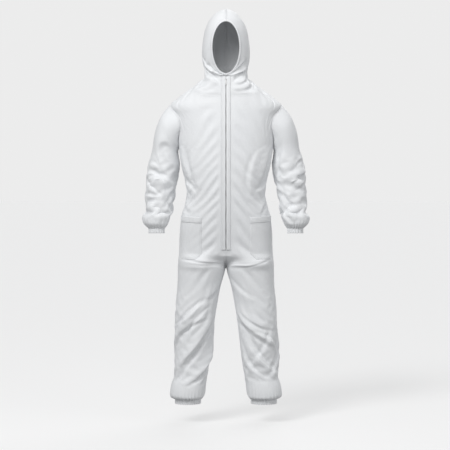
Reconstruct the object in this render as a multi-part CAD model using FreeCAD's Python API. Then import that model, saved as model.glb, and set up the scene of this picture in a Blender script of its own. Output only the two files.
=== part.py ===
"""Hooded protective coverall, held in the shape that a standing wearer gives it.

The suit is sewn from thin cloth: two front panels that meet at a long zip, two back panels, a
two-panel hood with an elastic face opening, two sleeves with elastic wrists, two trouser legs with
elastic ankles, an elastic at the back of the waist and two patch pockets.

Frame: millimetres, +Z up, the front faces -Y, the wearer's left is +X. The origin is the middle of
the neck base, where the suit hangs on the wearer's shoulders. Heights below are given above the
wearer's soles and are turned into Z by the function z_of.

Cloth that has to fold when a limb moves is a piece of its own (the names that end in _fold or
_head), so that the pieces on each side of it are free to turn.
"""
import FreeCAD
import Part
import math
import os

V = FreeCAD.Vector
os.makedirs("parts", exist_ok=True)

# ---- driving dimensions, in millimetres and degrees --------------------------------------------
NECK_BASE_HEIGHT = 1400.0
CLOTH = 1.0
SEAM_Y = 5.0              # the side, shoulder and sleeve seams lie in this plane
BODY_GAP = 0.8            # between pieces that move apart
RING_POINTS = 16
TRUNK_RINGS = [690, 730, 775, 820, 865, 910, 950, 985, 1020, 1060, 1105, 1150, 1195, 1240, 1285,
               1325, 1360, 1392, 1422, 1450, 1477, 1505, 1540, 1580, 1620, 1660, 1695, 1722, 1744,
               1760, 1770, 1777, 1781]

ZIP_RADIUS = 1468.0       # the front edge is one long arc, seen from the side
ZIP_CENTRE_Y = 1328.0
ZIP_CENTRE_HEIGHT = 1094.0
ZIP_TOP = 1486.0
ZIP_BOTTOM = 755.0
ZIP_HALF_GAP = 4.0
TAPE_X = (3.2, 16.0)      # from the middle of the front to the side
TOOTH_X = (0.7, 3.2)
PLACKET_X = (4.2, 20.0)
TOOTH_PITCH = 5.0
TOOTH_HEIGHT = 3.4
FIRST_TOOTH = 8.0         # above the lower end
SLIDER_LENGTH = 14.0
SLIDER_HALF_WIDTH = 6.0
SLIDER_HEIGHT = 1475.0
SLIDER_NECK = (0.35, 5.0) # half width and length of the web between its plates
LUG = (1.2, 2.5)          # half width and half height
LUG_REACH = 7.6           # in front of the zip's arc
PIVOT_REACH = 5.6
PIVOT_HOLE_RADIUS = 1.0
PIN_RADIUS = 0.95
PULL_LENGTH = 26.0
PULL_WIDTH = 5.6
PULL_THICK = 1.3
PULL_SLOT = (3.2, 7.5, 2.5)   # width, height, and how far it rises above the pin
PULL_EAR_RADIUS = 1.6
PULL_HOLE_RADIUS = 1.2
# depths of the zip's layers, from the zip's arc
TAPE_LAYER = (-3.0, -2.2)
TOOTH_LAYER = (-3.8, -1.2)
FRONT_PLATE_LAYER = (0.9, 2.3)
BACK_PLATE_LAYER = (-6.0, -4.2)
PLACKET_LAYER = (2.8, 3.8)
PLACKET_STITCH = 1.0      # width of the placket's sewn edge
BOTTOM_STOP = (1.0, 6.0)  # its lower and upper end, above the zip's lower end
TOP_STOP_HEIGHT = 3.0
PIN_INSET = 0.3           # of the cross pin's ends inside the pull's ears

WAIST_HEIGHT = 998.0
WAIST_ELASTIC_START = 12.0    # behind the side seams
HIP_CUT = 700.0           # the trunk ends here and the two legs begin
THIGH_TOP = 600.0
ELBOW = (273.0, 0.0, 1080.0)
ELBOW_CLEAR = 56.0
KNEE = (132.0, 5.0, 480.0)
KNEE_CLEAR = 66.0
SLEEVE_TOP = 1193.0       # the sleeve is free of the shoulder below this height
SLEEVE_SQUARENESS = 2.1
SEWN_GAP = 0.3            # between layers that are sewn onto each other
FOLD_GAP = 0.1            # between a fold and the piece it moves with
CROWN_RIDGE = (1.5, 3.0, 1735.0)   # half width, height, and where it starts at the back
# heights of the trunk's rings that shape the layers sewn onto it
CROWN_RINGS = (1650, 2000)
WAIST_RINGS = (860, 1200)
POCKET_RINGS = (0, 1110)
# sloping cuts across the neck: height and y at the front, then height and y at the back
NECK_SEAM_LINE = (1411, -105, 1500, 84)
FOLD_START_LINE = (1504, -92, 1545, 90)
FOLD_END_LINE = (1560, -105, 1590, 104)
WAIST_ELASTIC = (13.0, 1.5)        # half height and thickness

FACE_CENTRE_HEIGHT = 1609.0
FACE_HALF_WIDTH = 63.0
FACE_HALF_HEIGHT = 114.0
FACE_CORD_RADIUS = 2.2
FACE_CASING_RADIUS = 4.2
CASING_WALL = 1.5
CASING_OPEN = 12.0        # degrees, half of the gap between its edges
FACE_CENTRE_Y = -96.0
FACE_LEAN = 2.0
OVAL_HALF_WIDTH = FACE_HALF_WIDTH - FACE_CASING_RADIUS - 0.8
OVAL_HALF_HEIGHT = FACE_HALF_HEIGHT - FACE_CASING_RADIUS - 0.8
END_RADIUS = 39.0

WRIST = (296.0, -40.0)
WRIST_RADIUS = 30.0
WRIST_BOTTOM = 824.0
ANKLE = (164.0, 12.0)
ANKLE_RADIUS = 52.0
ANKLE_BOTTOM = 86.0
HEM_HEIGHT = 20.0
HEM_THICK = 3.4
ELASTIC_HEIGHT = 16.0
ELASTIC_GAPS = (0.1, 0.5) # beside it and below it, inside its hem

POCKET_INNER_X = 102.0
POCKET_OUTER_X = 188.0
POCKET_BOTTOM = 712.0
POCKET_TOP = 894.0
POCKET_CORNER = (28.0, 24.0)
POCKET_DEPTH = 9.0
POCKET_HEM = 25.0

# height: half width, front (None where the zip's arc sets it), back, squareness
TRUNK = [
    (690, 203, None, 106, 2.9),
    (760, 201, None, 118, 2.7),
    (840, 198, None, 126, 2.5),
    (910, 189, None, 116, 2.4),
    (985, 166, None, 98, 2.3),
    (1040, 170, None, 98, 2.3),
    (1120, 190, None, 108, 2.3),
    (1220, 204, None, 116, 2.3),
    (1300, 216, None, 112, 2.3),
    (1355, 230, None, 102, 2.3),
    (1395, 214, None, 95, 2.3),
    (1430, 176, None, 90, 2.3),
    (1465, 126, None, 86, 2.4),
    (1490, 99, None, 84, 2.4),
    (1520, 91, -94, 86, 2.4),
    (1570, 100, -105, 102, 2.5),
    (1650, 97, -115, 122, 2.4),
    (1700, 86, -108, 114, 2.3),
    (1740, 66, -86, 94, 2.1),
    (1765, 42, -53, 66, 2.0),
    (1777, 22, -22, 41, 2.0),
    (1782, 8, -1, 21, 2.0),
]
# half of the suit, wearer's left: centre x, centre y, height, half width, half depth, tilt of the
# ring from level, which is 0 where the limb hangs straight down
SLEEVE_HEAD = [
    (176, 0, 1318, 80, 74, 84),
    (218, 0, 1303, 81, 74, 76),
    (247, 0, 1250, 64, 69, 42),
    (259, 1, 1197, 55, 62, 0),
]
SLEEVE = [
    (259, 1, 1196, 55, 62, 0),
    (267, 3, 1120, 67, 66, 0),
    (275, 0, 1060, 65, 64, 0),
    (283, -12, 1006, 61, 60, 0),
    (293, -26, 920, 56, 56, 0),
    (300, -36, 872, 55, 54, 0),
    (299, -39, 858, 48, 48, 0),
    (297, -40, 849, 37, 37, 0),
    (WRIST[0], WRIST[1], 844.2, 33.2, 33.2, 0),
]
LEG = [
    (104, 5, 700, 100, 103, 0),
    (106, 6, 664, 99, 102, 0),
    (115, 8, 600, 93, 96, 0),
    (124, 8, 545, 90, 92, 0),
    (132, 5, 480, 86, 86, 0),
    (138, 8, 400, 82, 80, 0),
    (145, 14, 292, 77, 76, 0),
    (155, 14, 200, 73, 74, 0),
    (167, 10, 140, 76, 76, 0),
    (166, 11, 120, 71, 71, 0),
    (164, 12, 110, 59, 59, 0),
    (ANKLE[0], ANKLE[1], 106.2, 55.2, 55.2, 0),
]
LEG_SQUARENESS = 2.25
SIDES = (("left", 1), ("right", -1))
FAR = 2000.0


# ---- small tools -------------------------------------------------------------------------------
def z_of(height):
    """Z of a height above the wearer's soles."""
    return height - NECK_BASE_HEIGHT


def slope(table, i, column):
    """Rate of change at row i, by the rows beside it."""
    lo = max(i - 1, 0)
    hi = min(i + 1, len(table) - 1)
    return (table[hi][column] - table[lo][column]) / (table[hi][0] - table[lo][0])


def along(table, height, column):
    """A table's column at any height, as a smooth curve through its rows."""
    height = min(max(height, table[0][0]), table[-1][0])
    i = max(k for k in range(len(table) - 1) if table[k][0] <= height)
    h0, h1 = table[i][0], table[i + 1][0]
    step = h1 - h0
    t = (height - h0) / step
    m0, m1 = slope(table, i, column) * step, slope(table, i + 1, column) * step
    p0, p1 = table[i][column], table[i + 1][column]
    a = (2 * t ** 3 - 3 * t ** 2 + 1) * p0 + (t ** 3 - 2 * t ** 2 + t) * m0
    return a + (3 * t ** 2 - 2 * t ** 3) * p1 + (t ** 3 - t ** 2) * m1


def zip_y(height):
    """The front edge's y at a height."""
    rise = height - ZIP_CENTRE_HEIGHT
    return ZIP_CENTRE_Y - math.sqrt(ZIP_RADIUS ** 2 - rise ** 2)


TRUNK_TABLE = [(h, w, zip_y(h) if f is None else f, b, n) for h, w, f, b, n in TRUNK]


def section(height):
    """Half width, front, back and squareness of the trunk and hood at a height."""
    return [along(TRUNK_TABLE, height, column) for column in (1, 2, 3, 4)]


def ring(cx, cy, height, half, deep, tilt=0.0, n=2.0):
    """A closed smooth ring. Its plane leans down and outwards by tilt degrees."""
    points = []
    lean = math.radians(tilt)
    for k in range(RING_POINTS):
        turn = 2 * math.pi * k / RING_POINTS - math.pi / 2
        c, s = math.cos(turn), math.sin(turn)
        across = half * math.copysign(abs(c) ** (2 / n), c)
        depth = deep * math.copysign(abs(s) ** (2 / n), s)
        lifted = z_of(height) + across * math.sin(lean)
        points.append(V(cx + across * math.cos(lean), cy + depth, lifted))
    curve = Part.BSplineCurve()
    curve.interpolate(Points=points, PeriodicFlag=True)
    return Part.Wire([curve.toShape()])


def trunk_solid(out, low=0, high=FAR):
    """The trunk and hood as one solid, out mm outside the cloth's outer face. With low and high
    it is only the part that the rings between these heights give."""
    rings = []
    for height in TRUNK_RINGS:
        if low <= height <= high:
            half, front, back, n = section(height)
            shift = out if height == TRUNK_RINGS[-1] else min(out, 0) * (height == TRUNK_RINGS[0])
            rings.append(ring(0, (front + back) / 2, height + shift,
                              half + out, (back - front) / 2 + out, 0, n))
    return Part.makeLoft(rings, True, False)


def beyond(last, before, past=6.0):
    """The row that carries a limb on past its last row, in line with the row before it."""
    share = past / math.dist(last[:3], before[:3])
    return tuple(a + (a - b) * share for a, b in zip(last[:5], before[:5])) + (last[5],)


def tube(rows, n, clear_of=None):
    """A limb's cloth: the rows' rings with a wall of CLOTH, cut level at its lowest row and, with
    nothing to be cut clear of, at its highest."""
    low, high = rows[-1][2], FAR if clear_of else rows[0][2]
    rows = [beyond(rows[0], rows[1])] + rows + [beyond(rows[-1], rows[-2])]
    outer = Part.makeLoft([ring(*row, n) for row in rows], True, False)
    outer = outer.cut(clear_of) if clear_of else outer
    inner = Part.makeLoft([ring(cx, cy, height, half - CLOTH, deep - CLOTH, tilt, n)
                           for cx, cy, height, half, deep, tilt in rows], True, False)
    return outer.common(box(-FAR, FAR, -FAR, FAR, low, high)).cut(inner)


def between(rows, high, low):
    """A limb's rows from one height down to another, with new rows at both ends."""
    table = sorted([(r[2], r[0], r[1], r[3], r[4]) for r in rows])

    def row(height):
        cx, cy, half, deep = [along(table, height, column) for column in (1, 2, 3, 4)]
        return (cx, cy, height, half, deep, 0)

    inside = [r for r in rows if low + 6 < r[2] < high - 6]
    return [row(high)] + inside + [row(low)]


def box(x0, x1, y0, y1, h0, h1):
    """A box from its limits, with heights above the soles."""
    return Part.makeBox(x1 - x0, y1 - y0, h1 - h0, V(x0, y0, z_of(h0)))


def above(front_height, front, back_height, back):
    """The half space above a plane that rises from front to back."""
    rise = (back_height - front_height) / (back - front)
    profile = [
        V(-FAR, -FAR, z_of(front_height + rise * (-FAR - front))),
        V(-FAR, FAR, z_of(front_height + rise * (FAR - front))),
        V(-FAR, FAR, FAR),
        V(-FAR, -FAR, FAR),
    ]
    return Part.Face(Part.makePolygon(profile + profile[:1])).extrude(V(2 * FAR, 0, 0))


def arc_strip(x0, x1, inner, outer, low, high):
    """A strip that follows the zip's arc: from x0 to x1, between two distances in front of the
    arc and between two heights."""
    r0, r1 = ZIP_RADIUS + inner, ZIP_RADIUS + outer
    start, end = [math.asin((h - ZIP_CENTRE_HEIGHT) / ZIP_RADIUS) for h in (low, high)]
    corners = [V(x, ZIP_CENTRE_Y - r, z_of(ZIP_CENTRE_HEIGHT))
               for x, r in ((x0, r0), (x1, r0), (x1, r1), (x0, r1))]
    face = Part.Face(Part.makePolygon(corners + corners[:1]))
    centre = V(0, ZIP_CENTRE_Y, z_of(ZIP_CENTRE_HEIGHT))
    face.rotate(centre, V(1, 0, 0), -math.degrees(start))
    return face.revolve(centre, V(1, 0, 0), -math.degrees(end - start))


def mirrored(shape, side):
    """The shape itself for side 1, or its mirror image for side -1."""
    return shape if side > 0 else shape.mirror(V(0, 0, 0), V(1, 0, 0))


def strip_x(side, near, far):
    """Low and high x of a strip that lies near to far from the middle, on one side."""
    return sorted((side * near, side * far))


def save(name, shapes):
    """Writes one sub-part, which may be a group of separate solids."""
    shapes = shapes if isinstance(shapes, list) else [shapes]
    solids = [s for shape in shapes for s in shape.Solids]
    if not solids or not all(s.isValid() for s in solids):
        raise RuntimeError("bad solid in " + name)
    whole = solids[0] if len(solids) == 1 else Part.makeCompound(solids)
    whole.exportStep("parts/" + name + ".step")
    print(name, len(solids), round(sum(s.Volume for s in solids) / 1000, 1), "cm3")


# ---- trunk, neck and hood ----------------------------------------------------------------------
trunk_outside = trunk_solid(0.0)
trunk_cloth = trunk_outside.cut(trunk_solid(-CLOTH))
sewn_on_face = trunk_solid(SEWN_GAP)
NECK_SEAM = above(*NECK_SEAM_LINE)
FOLD_FROM = above(*FOLD_START_LINE)
FOLD_TO = above(*FOLD_END_LINE)
armhole_solid = Part.makeLoft([ring(*row, SLEEVE_SQUARENESS) for row in SLEEVE_HEAD], True, False)
armholes = [mirrored(armhole_solid, side) for _, side in SIDES]
rim = Part.Ellipse(V(0, 0, z_of(FACE_CENTRE_HEIGHT + FACE_HALF_HEIGHT)),
                   V(FACE_HALF_WIDTH, 0, z_of(FACE_CENTRE_HEIGHT)),
                   V(0, 0, z_of(FACE_CENTRE_HEIGHT)))
face_hole = Part.Face(Part.Wire([rim.toShape()])).extrude(V(0, -FAR, 0))
zip_slot = box(-ZIP_HALF_GAP, ZIP_HALF_GAP, -FAR, 0, ZIP_BOTTOM, FACE_CENTRE_HEIGHT)

body_cloth = trunk_cloth.cut(NECK_SEAM).common(box(-FAR, FAR, -FAR, FAR, HIP_CUT, FAR))
body_cloth = body_cloth.cut(armholes).cut(zip_slot)
neck_cloth = trunk_cloth.common(NECK_SEAM).cut(FOLD_FROM).cut(zip_slot).cut(face_hole)
fold_cloth = trunk_cloth.common(FOLD_FROM).cut(FOLD_TO).cut(face_hole)
crown_cloth = trunk_cloth.common(FOLD_TO).cut(face_hole)

half = box(-FAR, 0, -FAR, FAR, 0, FAR)
front = box(-FAR, 0, -FAR, SEAM_Y, 0, FAR)
back = box(-FAR, 0, SEAM_Y, FAR, 0, FAR)
right_panels = {
    "front_panel": body_cloth.common(front),
    "back_panel": body_cloth.common(back),
    "neck_panel": neck_cloth.common(half),
    "hood_fold": fold_cloth.common(half),
    "hood_panel": crown_cloth.common(half),
}
for label, side in SIDES:
    for name, shape in right_panels.items():
        save(label + "_" + name, mirrored(shape, -side))

# the raised seam that joins the two hood panels over the crown
ridge_half, ridge_rise, ridge_start = CROWN_RIDGE
ridge_band = trunk_solid(ridge_rise, *CROWN_RINGS).cut(sewn_on_face)
save("hood_crown_seam", ridge_band.common(box(-ridge_half, ridge_half, -FAR, FAR,
                                              ridge_start, FAR)))

# face opening: a folded casing of cloth with an elastic cord inside it. The opening is a flat oval
# of four arcs that leans forward a little: two end arcs and two side arcs that meet smoothly.
SIDE_RADIUS = (OVAL_HALF_WIDTH ** 2 + OVAL_HALF_HEIGHT ** 2 - 2 * OVAL_HALF_HEIGHT * END_RADIUS) / (
    2 * (OVAL_HALF_WIDTH - END_RADIUS))
END_RISE = OVAL_HALF_HEIGHT - END_RADIUS
SIDE_REACH = SIDE_RADIUS - OVAL_HALF_WIDTH
HALF_TURN = math.degrees(math.atan2(END_RISE, SIDE_REACH))


def oval_ring(profile):
    """Turns a profile round the oval's four arcs. The profile gives a flat face in the XY plane
    that stands at a distance from the Z axis."""
    arcs = [
        (0, END_RISE, END_RADIUS, HALF_TURN, 180 - 2 * HALF_TURN),
        (SIDE_REACH, 0, SIDE_RADIUS, 180 - HALF_TURN, 2 * HALF_TURN),
        (0, -END_RISE, END_RADIUS, 180 + HALF_TURN, 180 - 2 * HALF_TURN),
        (-SIDE_REACH, 0, SIDE_RADIUS, -HALF_TURN, 2 * HALF_TURN),
    ]
    pieces = []
    for x, rise, radius, start, turn in arcs:
        face = profile(radius)
        face.rotate(V(0, 0, 0), V(0, 1, 0), -start)
        piece = face.revolve(V(0, 0, 0), V(0, 1, 0), -turn)
        piece.translate(V(x, 0, rise))
        pieces.append(piece)
    whole = pieces[0].fuse(pieces[1:]).removeSplitter()
    whole.rotate(V(0, 0, 0), V(1, 0, 0), FACE_LEAN)
    whole.translate(V(0, FACE_CENTRE_Y, z_of(FACE_CENTRE_HEIGHT)))
    return whole


def cord_profile(distance):
    return Part.Face(Part.Wire([Part.makeCircle(FACE_CORD_RADIUS, V(distance, 0, 0))]))


def casing_profile(distance):
    """A strip of cloth folded round the cord, with its edges nearly meeting at the outside."""
    def at(radius, turn):
        turn = math.radians(turn)
        return V(distance + radius * math.cos(turn), radius * math.sin(turn), 0)

    r0, r1 = FACE_CASING_RADIUS - CASING_WALL, FACE_CASING_RADIUS
    first, last = CASING_OPEN, 360 - CASING_OPEN
    outer = Part.Arc(at(r1, first), at(r1, 180), at(r1, last)).toShape()
    inner = Part.Arc(at(r0, last), at(r0, 180), at(r0, first)).toShape()
    return Part.Face(Part.Wire([outer, Part.makeLine(at(r1, last), at(r0, last)), inner,
                                Part.makeLine(at(r0, first), at(r1, first))]))


save("face_elastic", oval_ring(cord_profile))
save("face_casing", oval_ring(casing_profile))

# elastic sewn inside the back of the waist
elastic_reach, elastic_thick = WAIST_ELASTIC
elastic_face = CLOTH + SEWN_GAP
waist_band = trunk_solid(-elastic_face, *WAIST_RINGS)
waist_band = waist_band.cut(trunk_solid(-elastic_face - elastic_thick, *WAIST_RINGS))
waist_zone = box(-FAR, FAR, SEAM_Y + WAIST_ELASTIC_START, FAR,
                 WAIST_HEIGHT - elastic_reach, WAIST_HEIGHT + elastic_reach)
save("waist_elastic", waist_band.common(waist_zone))

# ---- patch pockets -----------------------------------------------------------------------------
pocket_out = trunk_solid(POCKET_DEPTH + CLOTH, *POCKET_RINGS)
pocket_in = trunk_solid(POCKET_DEPTH, *POCKET_RINGS)
hem_out = trunk_solid(POCKET_DEPTH + 2 * CLOTH, *POCKET_RINGS)


def pocket_outline(inset, top):
    """The pocket's outline seen from the front, as a block."""
    x0, x1 = POCKET_INNER_X + inset, POCKET_OUTER_X - inset
    z0, z1 = z_of(POCKET_BOTTOM + inset), z_of(top)
    cut_x, cut_z = POCKET_CORNER
    corners = [V(x0 + cut_x, -FAR, z0), V(x1, -FAR, z0), V(x1, -FAR, z1),
               V(x0, -FAR, z1), V(x0, -FAR, z0 + cut_z)]
    return Part.Face(Part.makePolygon(corners + corners[:1])).extrude(V(0, FAR, 0))


pocket = pocket_out.cut(sewn_on_face).common(pocket_outline(0, POCKET_TOP))
pocket = pocket.cut(pocket_in.common(pocket_outline(CLOTH, POCKET_TOP + CLOTH)))
hem_zone = pocket_outline(0, POCKET_TOP).common(
    box(0, FAR, -FAR, 0, POCKET_TOP - POCKET_HEM, POCKET_TOP))
pocket_hem = hem_out.cut(pocket_out).common(hem_zone)
for label, side in SIDES:
    save(label + "_pocket", mirrored(pocket, side))
    save(label + "_pocket_hem", mirrored(pocket_hem, side))

# ---- zip ---------------------------------------------------------------------------------------
inside_cloth = trunk_solid(-CLOTH - SEWN_GAP)
tape = arc_strip(*strip_x(-1, *TAPE_X), *TAPE_LAYER, ZIP_BOTTOM, ZIP_TOP).common(inside_cloth)
lid = arc_strip(*strip_x(-1, *PLACKET_X), *PLACKET_LAYER, ZIP_BOTTOM, ZIP_TOP)
sewn_edge = arc_strip(*strip_x(-1, PLACKET_X[1] - PLACKET_STITCH, PLACKET_X[1]),
                      -CLOTH, PLACKET_LAYER[0], ZIP_BOTTOM, ZIP_TOP)
placket = lid.fuse(sewn_edge).removeSplitter().cut(sewn_on_face)
tooth_count = int((ZIP_TOP - ZIP_BOTTOM - FIRST_TOOTH - TOOTH_HEIGHT) / TOOTH_PITCH)
for label, side in SIDES:
    save(label + "_zip_tape", mirrored(tape, -side))
    save(label + "_zip_placket", mirrored(placket, -side))
    first = ZIP_BOTTOM + FIRST_TOOTH + (TOOTH_PITCH / 2 if side > 0 else 0)
    teeth = []
    for k in range(tooth_count):
        low = first + k * TOOTH_PITCH
        teeth.append(arc_strip(*strip_x(side, *TOOTH_X), *TOOTH_LAYER, low, low + TOOTH_HEIGHT))
    save(label + "_zip_teeth", teeth)
save("zip_bottom_stop",
     arc_strip(-TOOTH_X[1], TOOTH_X[1], *TOOTH_LAYER,
               ZIP_BOTTOM + BOTTOM_STOP[0], ZIP_BOTTOM + BOTTOM_STOP[1]))
save("zip_top_stops", [arc_strip(*strip_x(side, *TOOTH_X), *TOOTH_LAYER,
                                 ZIP_TOP - TOP_STOP_HEIGHT, ZIP_TOP) for _, side in SIDES])

slider_low = SLIDER_HEIGHT - SLIDER_LENGTH / 2
slider_high = SLIDER_HEIGHT + SLIDER_LENGTH / 2
slider_x = (-SLIDER_HALF_WIDTH, SLIDER_HALF_WIDTH)
slider = arc_strip(*slider_x, *FRONT_PLATE_LAYER, slider_low, slider_high)
slider = slider.fuse(arc_strip(*slider_x, *BACK_PLATE_LAYER, slider_low, slider_high))
slider = slider.fuse(arc_strip(-SLIDER_NECK[0], SLIDER_NECK[0],
                               BACK_PLATE_LAYER[1], FRONT_PLATE_LAYER[0],
                               slider_high - SLIDER_NECK[1], slider_high))
lug = arc_strip(-LUG[0], LUG[0], FRONT_PLATE_LAYER[1], LUG_REACH,
                SLIDER_HEIGHT - LUG[1], SLIDER_HEIGHT + LUG[1])
slider_turn = math.asin((SLIDER_HEIGHT - ZIP_CENTRE_HEIGHT) / ZIP_RADIUS)
pivot_radius = ZIP_RADIUS + PIVOT_REACH
PULL_PIVOT = V(0, ZIP_CENTRE_Y - pivot_radius * math.cos(slider_turn),
               z_of(ZIP_CENTRE_HEIGHT) + pivot_radius * math.sin(slider_turn))
pin_hole = Part.makeCylinder(PIVOT_HOLE_RADIUS, 2 * PULL_WIDTH,
                             PULL_PIVOT - V(PULL_WIDTH, 0, 0), V(1, 0, 0))
save("zip_slider", slider.fuse(lug).removeSplitter().cut(pin_hole))

# pull tab: two ears on a cross pin through the slider's lug, and a flat tongue that hangs down
half_pull, ear_width = PULL_WIDTH / 2, (PULL_WIDTH - PULL_SLOT[0]) / 2
tongue = Part.makeBox(PULL_WIDTH, PULL_THICK, PULL_LENGTH,
                      PULL_PIVOT + V(-half_pull, -PULL_THICK / 2, -PULL_LENGTH))
tongue = tongue.cut(Part.makeBox(PULL_SLOT[0], 2 * PULL_THICK, PULL_SLOT[1],
                                 PULL_PIVOT + V(-PULL_SLOT[0] / 2, -PULL_THICK,
                                                PULL_SLOT[2] - PULL_SLOT[1])))
tongue = tongue.cut(Part.makeCylinder(PULL_HOLE_RADIUS, PULL_WIDTH,
                                      PULL_PIVOT + V(0, half_pull, 5 - PULL_LENGTH), V(0, -1, 0)))
ears = [Part.makeCylinder(PULL_EAR_RADIUS, ear_width, PULL_PIVOT + V(x, 0, 0), V(1, 0, 0))
        for x in (-half_pull, half_pull - ear_width)]
pin_half = half_pull - PIN_INSET
pin = Part.makeCylinder(PIN_RADIUS, 2 * pin_half, PULL_PIVOT - V(pin_half, 0, 0), V(1, 0, 0))
pull = tongue.fuse(ears).fuse(pin).removeSplitter()
pull.rotate(PULL_PIVOT, V(1, 0, 0), -math.degrees(slider_turn))
save("zip_pull", pull)

# ---- sleeves -----------------------------------------------------------------------------------
elbow_top = ELBOW[2] + ELBOW_CLEAR
elbow_low = ELBOW[2] - ELBOW_CLEAR
sleeve_parts = {
    "sleeve_head": tube(SLEEVE_HEAD, SLEEVE_SQUARENESS, trunk_outside),
    "upper_sleeve": tube(between(SLEEVE, SLEEVE_TOP, elbow_top), SLEEVE_SQUARENESS),
    "elbow_fold": tube(between(SLEEVE, elbow_top - FOLD_GAP, elbow_low + BODY_GAP),
                       SLEEVE_SQUARENESS),
    "forearm_sleeve": tube(between(SLEEVE, elbow_low, SLEEVE[-1][2]), SLEEVE_SQUARENESS),
}


def hem(centre, radius, bottom):
    """A folded hem of cloth: an inner and an outer wall joined at the bottom."""
    x, y = centre
    lift = V(x, y, z_of(bottom))
    outer = Part.makeCylinder(radius + HEM_THICK, HEM_HEIGHT, lift)
    slot_ring = Part.makeCylinder(radius + HEM_THICK - CLOTH, HEM_HEIGHT, lift + V(0, 0, CLOTH))
    slot_ring = slot_ring.cut(Part.makeCylinder(radius + CLOTH, HEM_HEIGHT, lift + V(0, 0, CLOTH)))
    return outer.cut(Part.makeCylinder(radius, HEM_HEIGHT, lift)).cut(slot_ring)


def hem_elastic(centre, radius, bottom):
    """The flat elastic inside a hem."""
    x, y = centre
    beside, below = ELASTIC_GAPS
    lift = V(x, y, z_of(bottom) + CLOTH + below)
    outer = Part.makeCylinder(radius + HEM_THICK - CLOTH - beside, ELASTIC_HEIGHT, lift)
    return outer.cut(Part.makeCylinder(radius + CLOTH + beside, ELASTIC_HEIGHT, lift))


sleeve_parts["wrist_hem"] = hem(WRIST, WRIST_RADIUS, WRIST_BOTTOM)
sleeve_parts["wrist_elastic"] = hem_elastic(WRIST, WRIST_RADIUS, WRIST_BOTTOM)
for label, side in SIDES:
    for name, shape in sleeve_parts.items():
        save(label + "_" + name, mirrored(shape, side))

# ---- trouser legs ------------------------------------------------------------------------------
knee_top = KNEE[2] + KNEE_CLEAR
knee_low = KNEE[2] - KNEE_CLEAR
thigh = tube(between(LEG, THIGH_TOP, knee_top), LEG_SQUARENESS)
shin = tube(between(LEG, knee_low, LEG[-1][2]), LEG_SQUARENESS)
front_half = box(-FAR, FAR, -FAR, SEAM_Y, 0, FAR)
back_half = box(-FAR, FAR, SEAM_Y, FAR, 0, FAR)
leg_parts = {
    "hip_fold": tube(between(LEG, HIP_CUT - FOLD_GAP, THIGH_TOP + BODY_GAP), LEG_SQUARENESS),
    "thigh_front_panel": thigh.common(front_half),
    "thigh_back_panel": thigh.common(back_half),
    "knee_fold": tube(between(LEG, knee_top - FOLD_GAP, knee_low + BODY_GAP), LEG_SQUARENESS),
    "shin_front_panel": shin.common(front_half),
    "shin_back_panel": shin.common(back_half),
    "ankle_hem": hem(ANKLE, ANKLE_RADIUS, ANKLE_BOTTOM),
    "ankle_elastic": hem_elastic(ANKLE, ANKLE_RADIUS, ANKLE_BOTTOM),
}
for label, side in SIDES:
    for name, shape in leg_parts.items():
        save(label + "_" + name, mirrored(shape, side))
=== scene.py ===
"""A hooded protective coverall as cloth: it is cut as panels, sewn, put on an unseen wearer and
left to hang. The folds come from a cloth simulation and from larger ones that are pressed in before
and after it.

Heights are in metres above the wearer's soles until the cloth is split into pieces; the frame's
origin is the middle of the neck base. +X is the wearer's left, and the front faces -Y.
"""
import math

import bpy
import numpy as np
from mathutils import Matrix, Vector
from mathutils.bvhtree import BVHTree


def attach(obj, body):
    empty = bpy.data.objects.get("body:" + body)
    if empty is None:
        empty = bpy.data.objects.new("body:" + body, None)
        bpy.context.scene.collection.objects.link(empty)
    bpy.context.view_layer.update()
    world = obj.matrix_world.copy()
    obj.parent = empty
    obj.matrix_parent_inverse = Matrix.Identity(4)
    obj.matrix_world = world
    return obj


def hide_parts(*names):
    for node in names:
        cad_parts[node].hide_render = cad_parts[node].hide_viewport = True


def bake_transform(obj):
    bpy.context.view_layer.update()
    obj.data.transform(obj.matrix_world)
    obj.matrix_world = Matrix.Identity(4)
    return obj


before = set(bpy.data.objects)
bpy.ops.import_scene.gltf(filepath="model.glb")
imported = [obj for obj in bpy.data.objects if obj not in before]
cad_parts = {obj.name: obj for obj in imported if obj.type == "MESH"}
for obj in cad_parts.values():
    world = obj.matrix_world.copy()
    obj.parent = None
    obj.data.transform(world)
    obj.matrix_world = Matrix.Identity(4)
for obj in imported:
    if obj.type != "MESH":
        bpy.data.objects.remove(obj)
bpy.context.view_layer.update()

NECK_BASE = 1.400
# greys of the studio, and how strongly the surroundings and the floor shine
BACKDROP = 0.84
FLOOR_GREY, BOUNCE_GREY = 0.42, 0.36
AMBIENT = 0.40
FLOOR_GLOW = 0.58
FLOOR_HALF = 60
# distant lights: place seen from the origin, power, and width in degrees
SUNS = {
    "key": ((-1.6, -2.2, 2.3), 1.05, 18),
    "fill": ((2.2, -1.6, 0.9), 0.40, 40),
    "back": ((1.2, 2.4, 1.9), 0.95, 60),
}
# a square light on the chest
LAMP_PLACE, LAMP_POWER, LAMP_SIZE = (-0.7, -2.1, 1.45), 26, 1.6
CHEST = (0, 0, -0.25)
# the camera, fitted to the photo: its real distance isn't known
CAMERA_DISTANCE = 6.0
CAMERA_RISE = 0.197       # above the place that it looks at
CAMERA_SIDE = -0.004
AIM_HEIGHT = 0.856
VIEW_WIDTH = 1.935
SENSOR = 36               # millimetres
SIDES = (("left", 1), ("right", -1))


# ---- camera, light and floor -------------------------------------------------------------------
def look(obj, target):
    """Points a camera or a light at a place."""
    obj.rotation_euler = (Vector(target) - obj.location).to_track_quat("-Z", "Y").to_euler()


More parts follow.
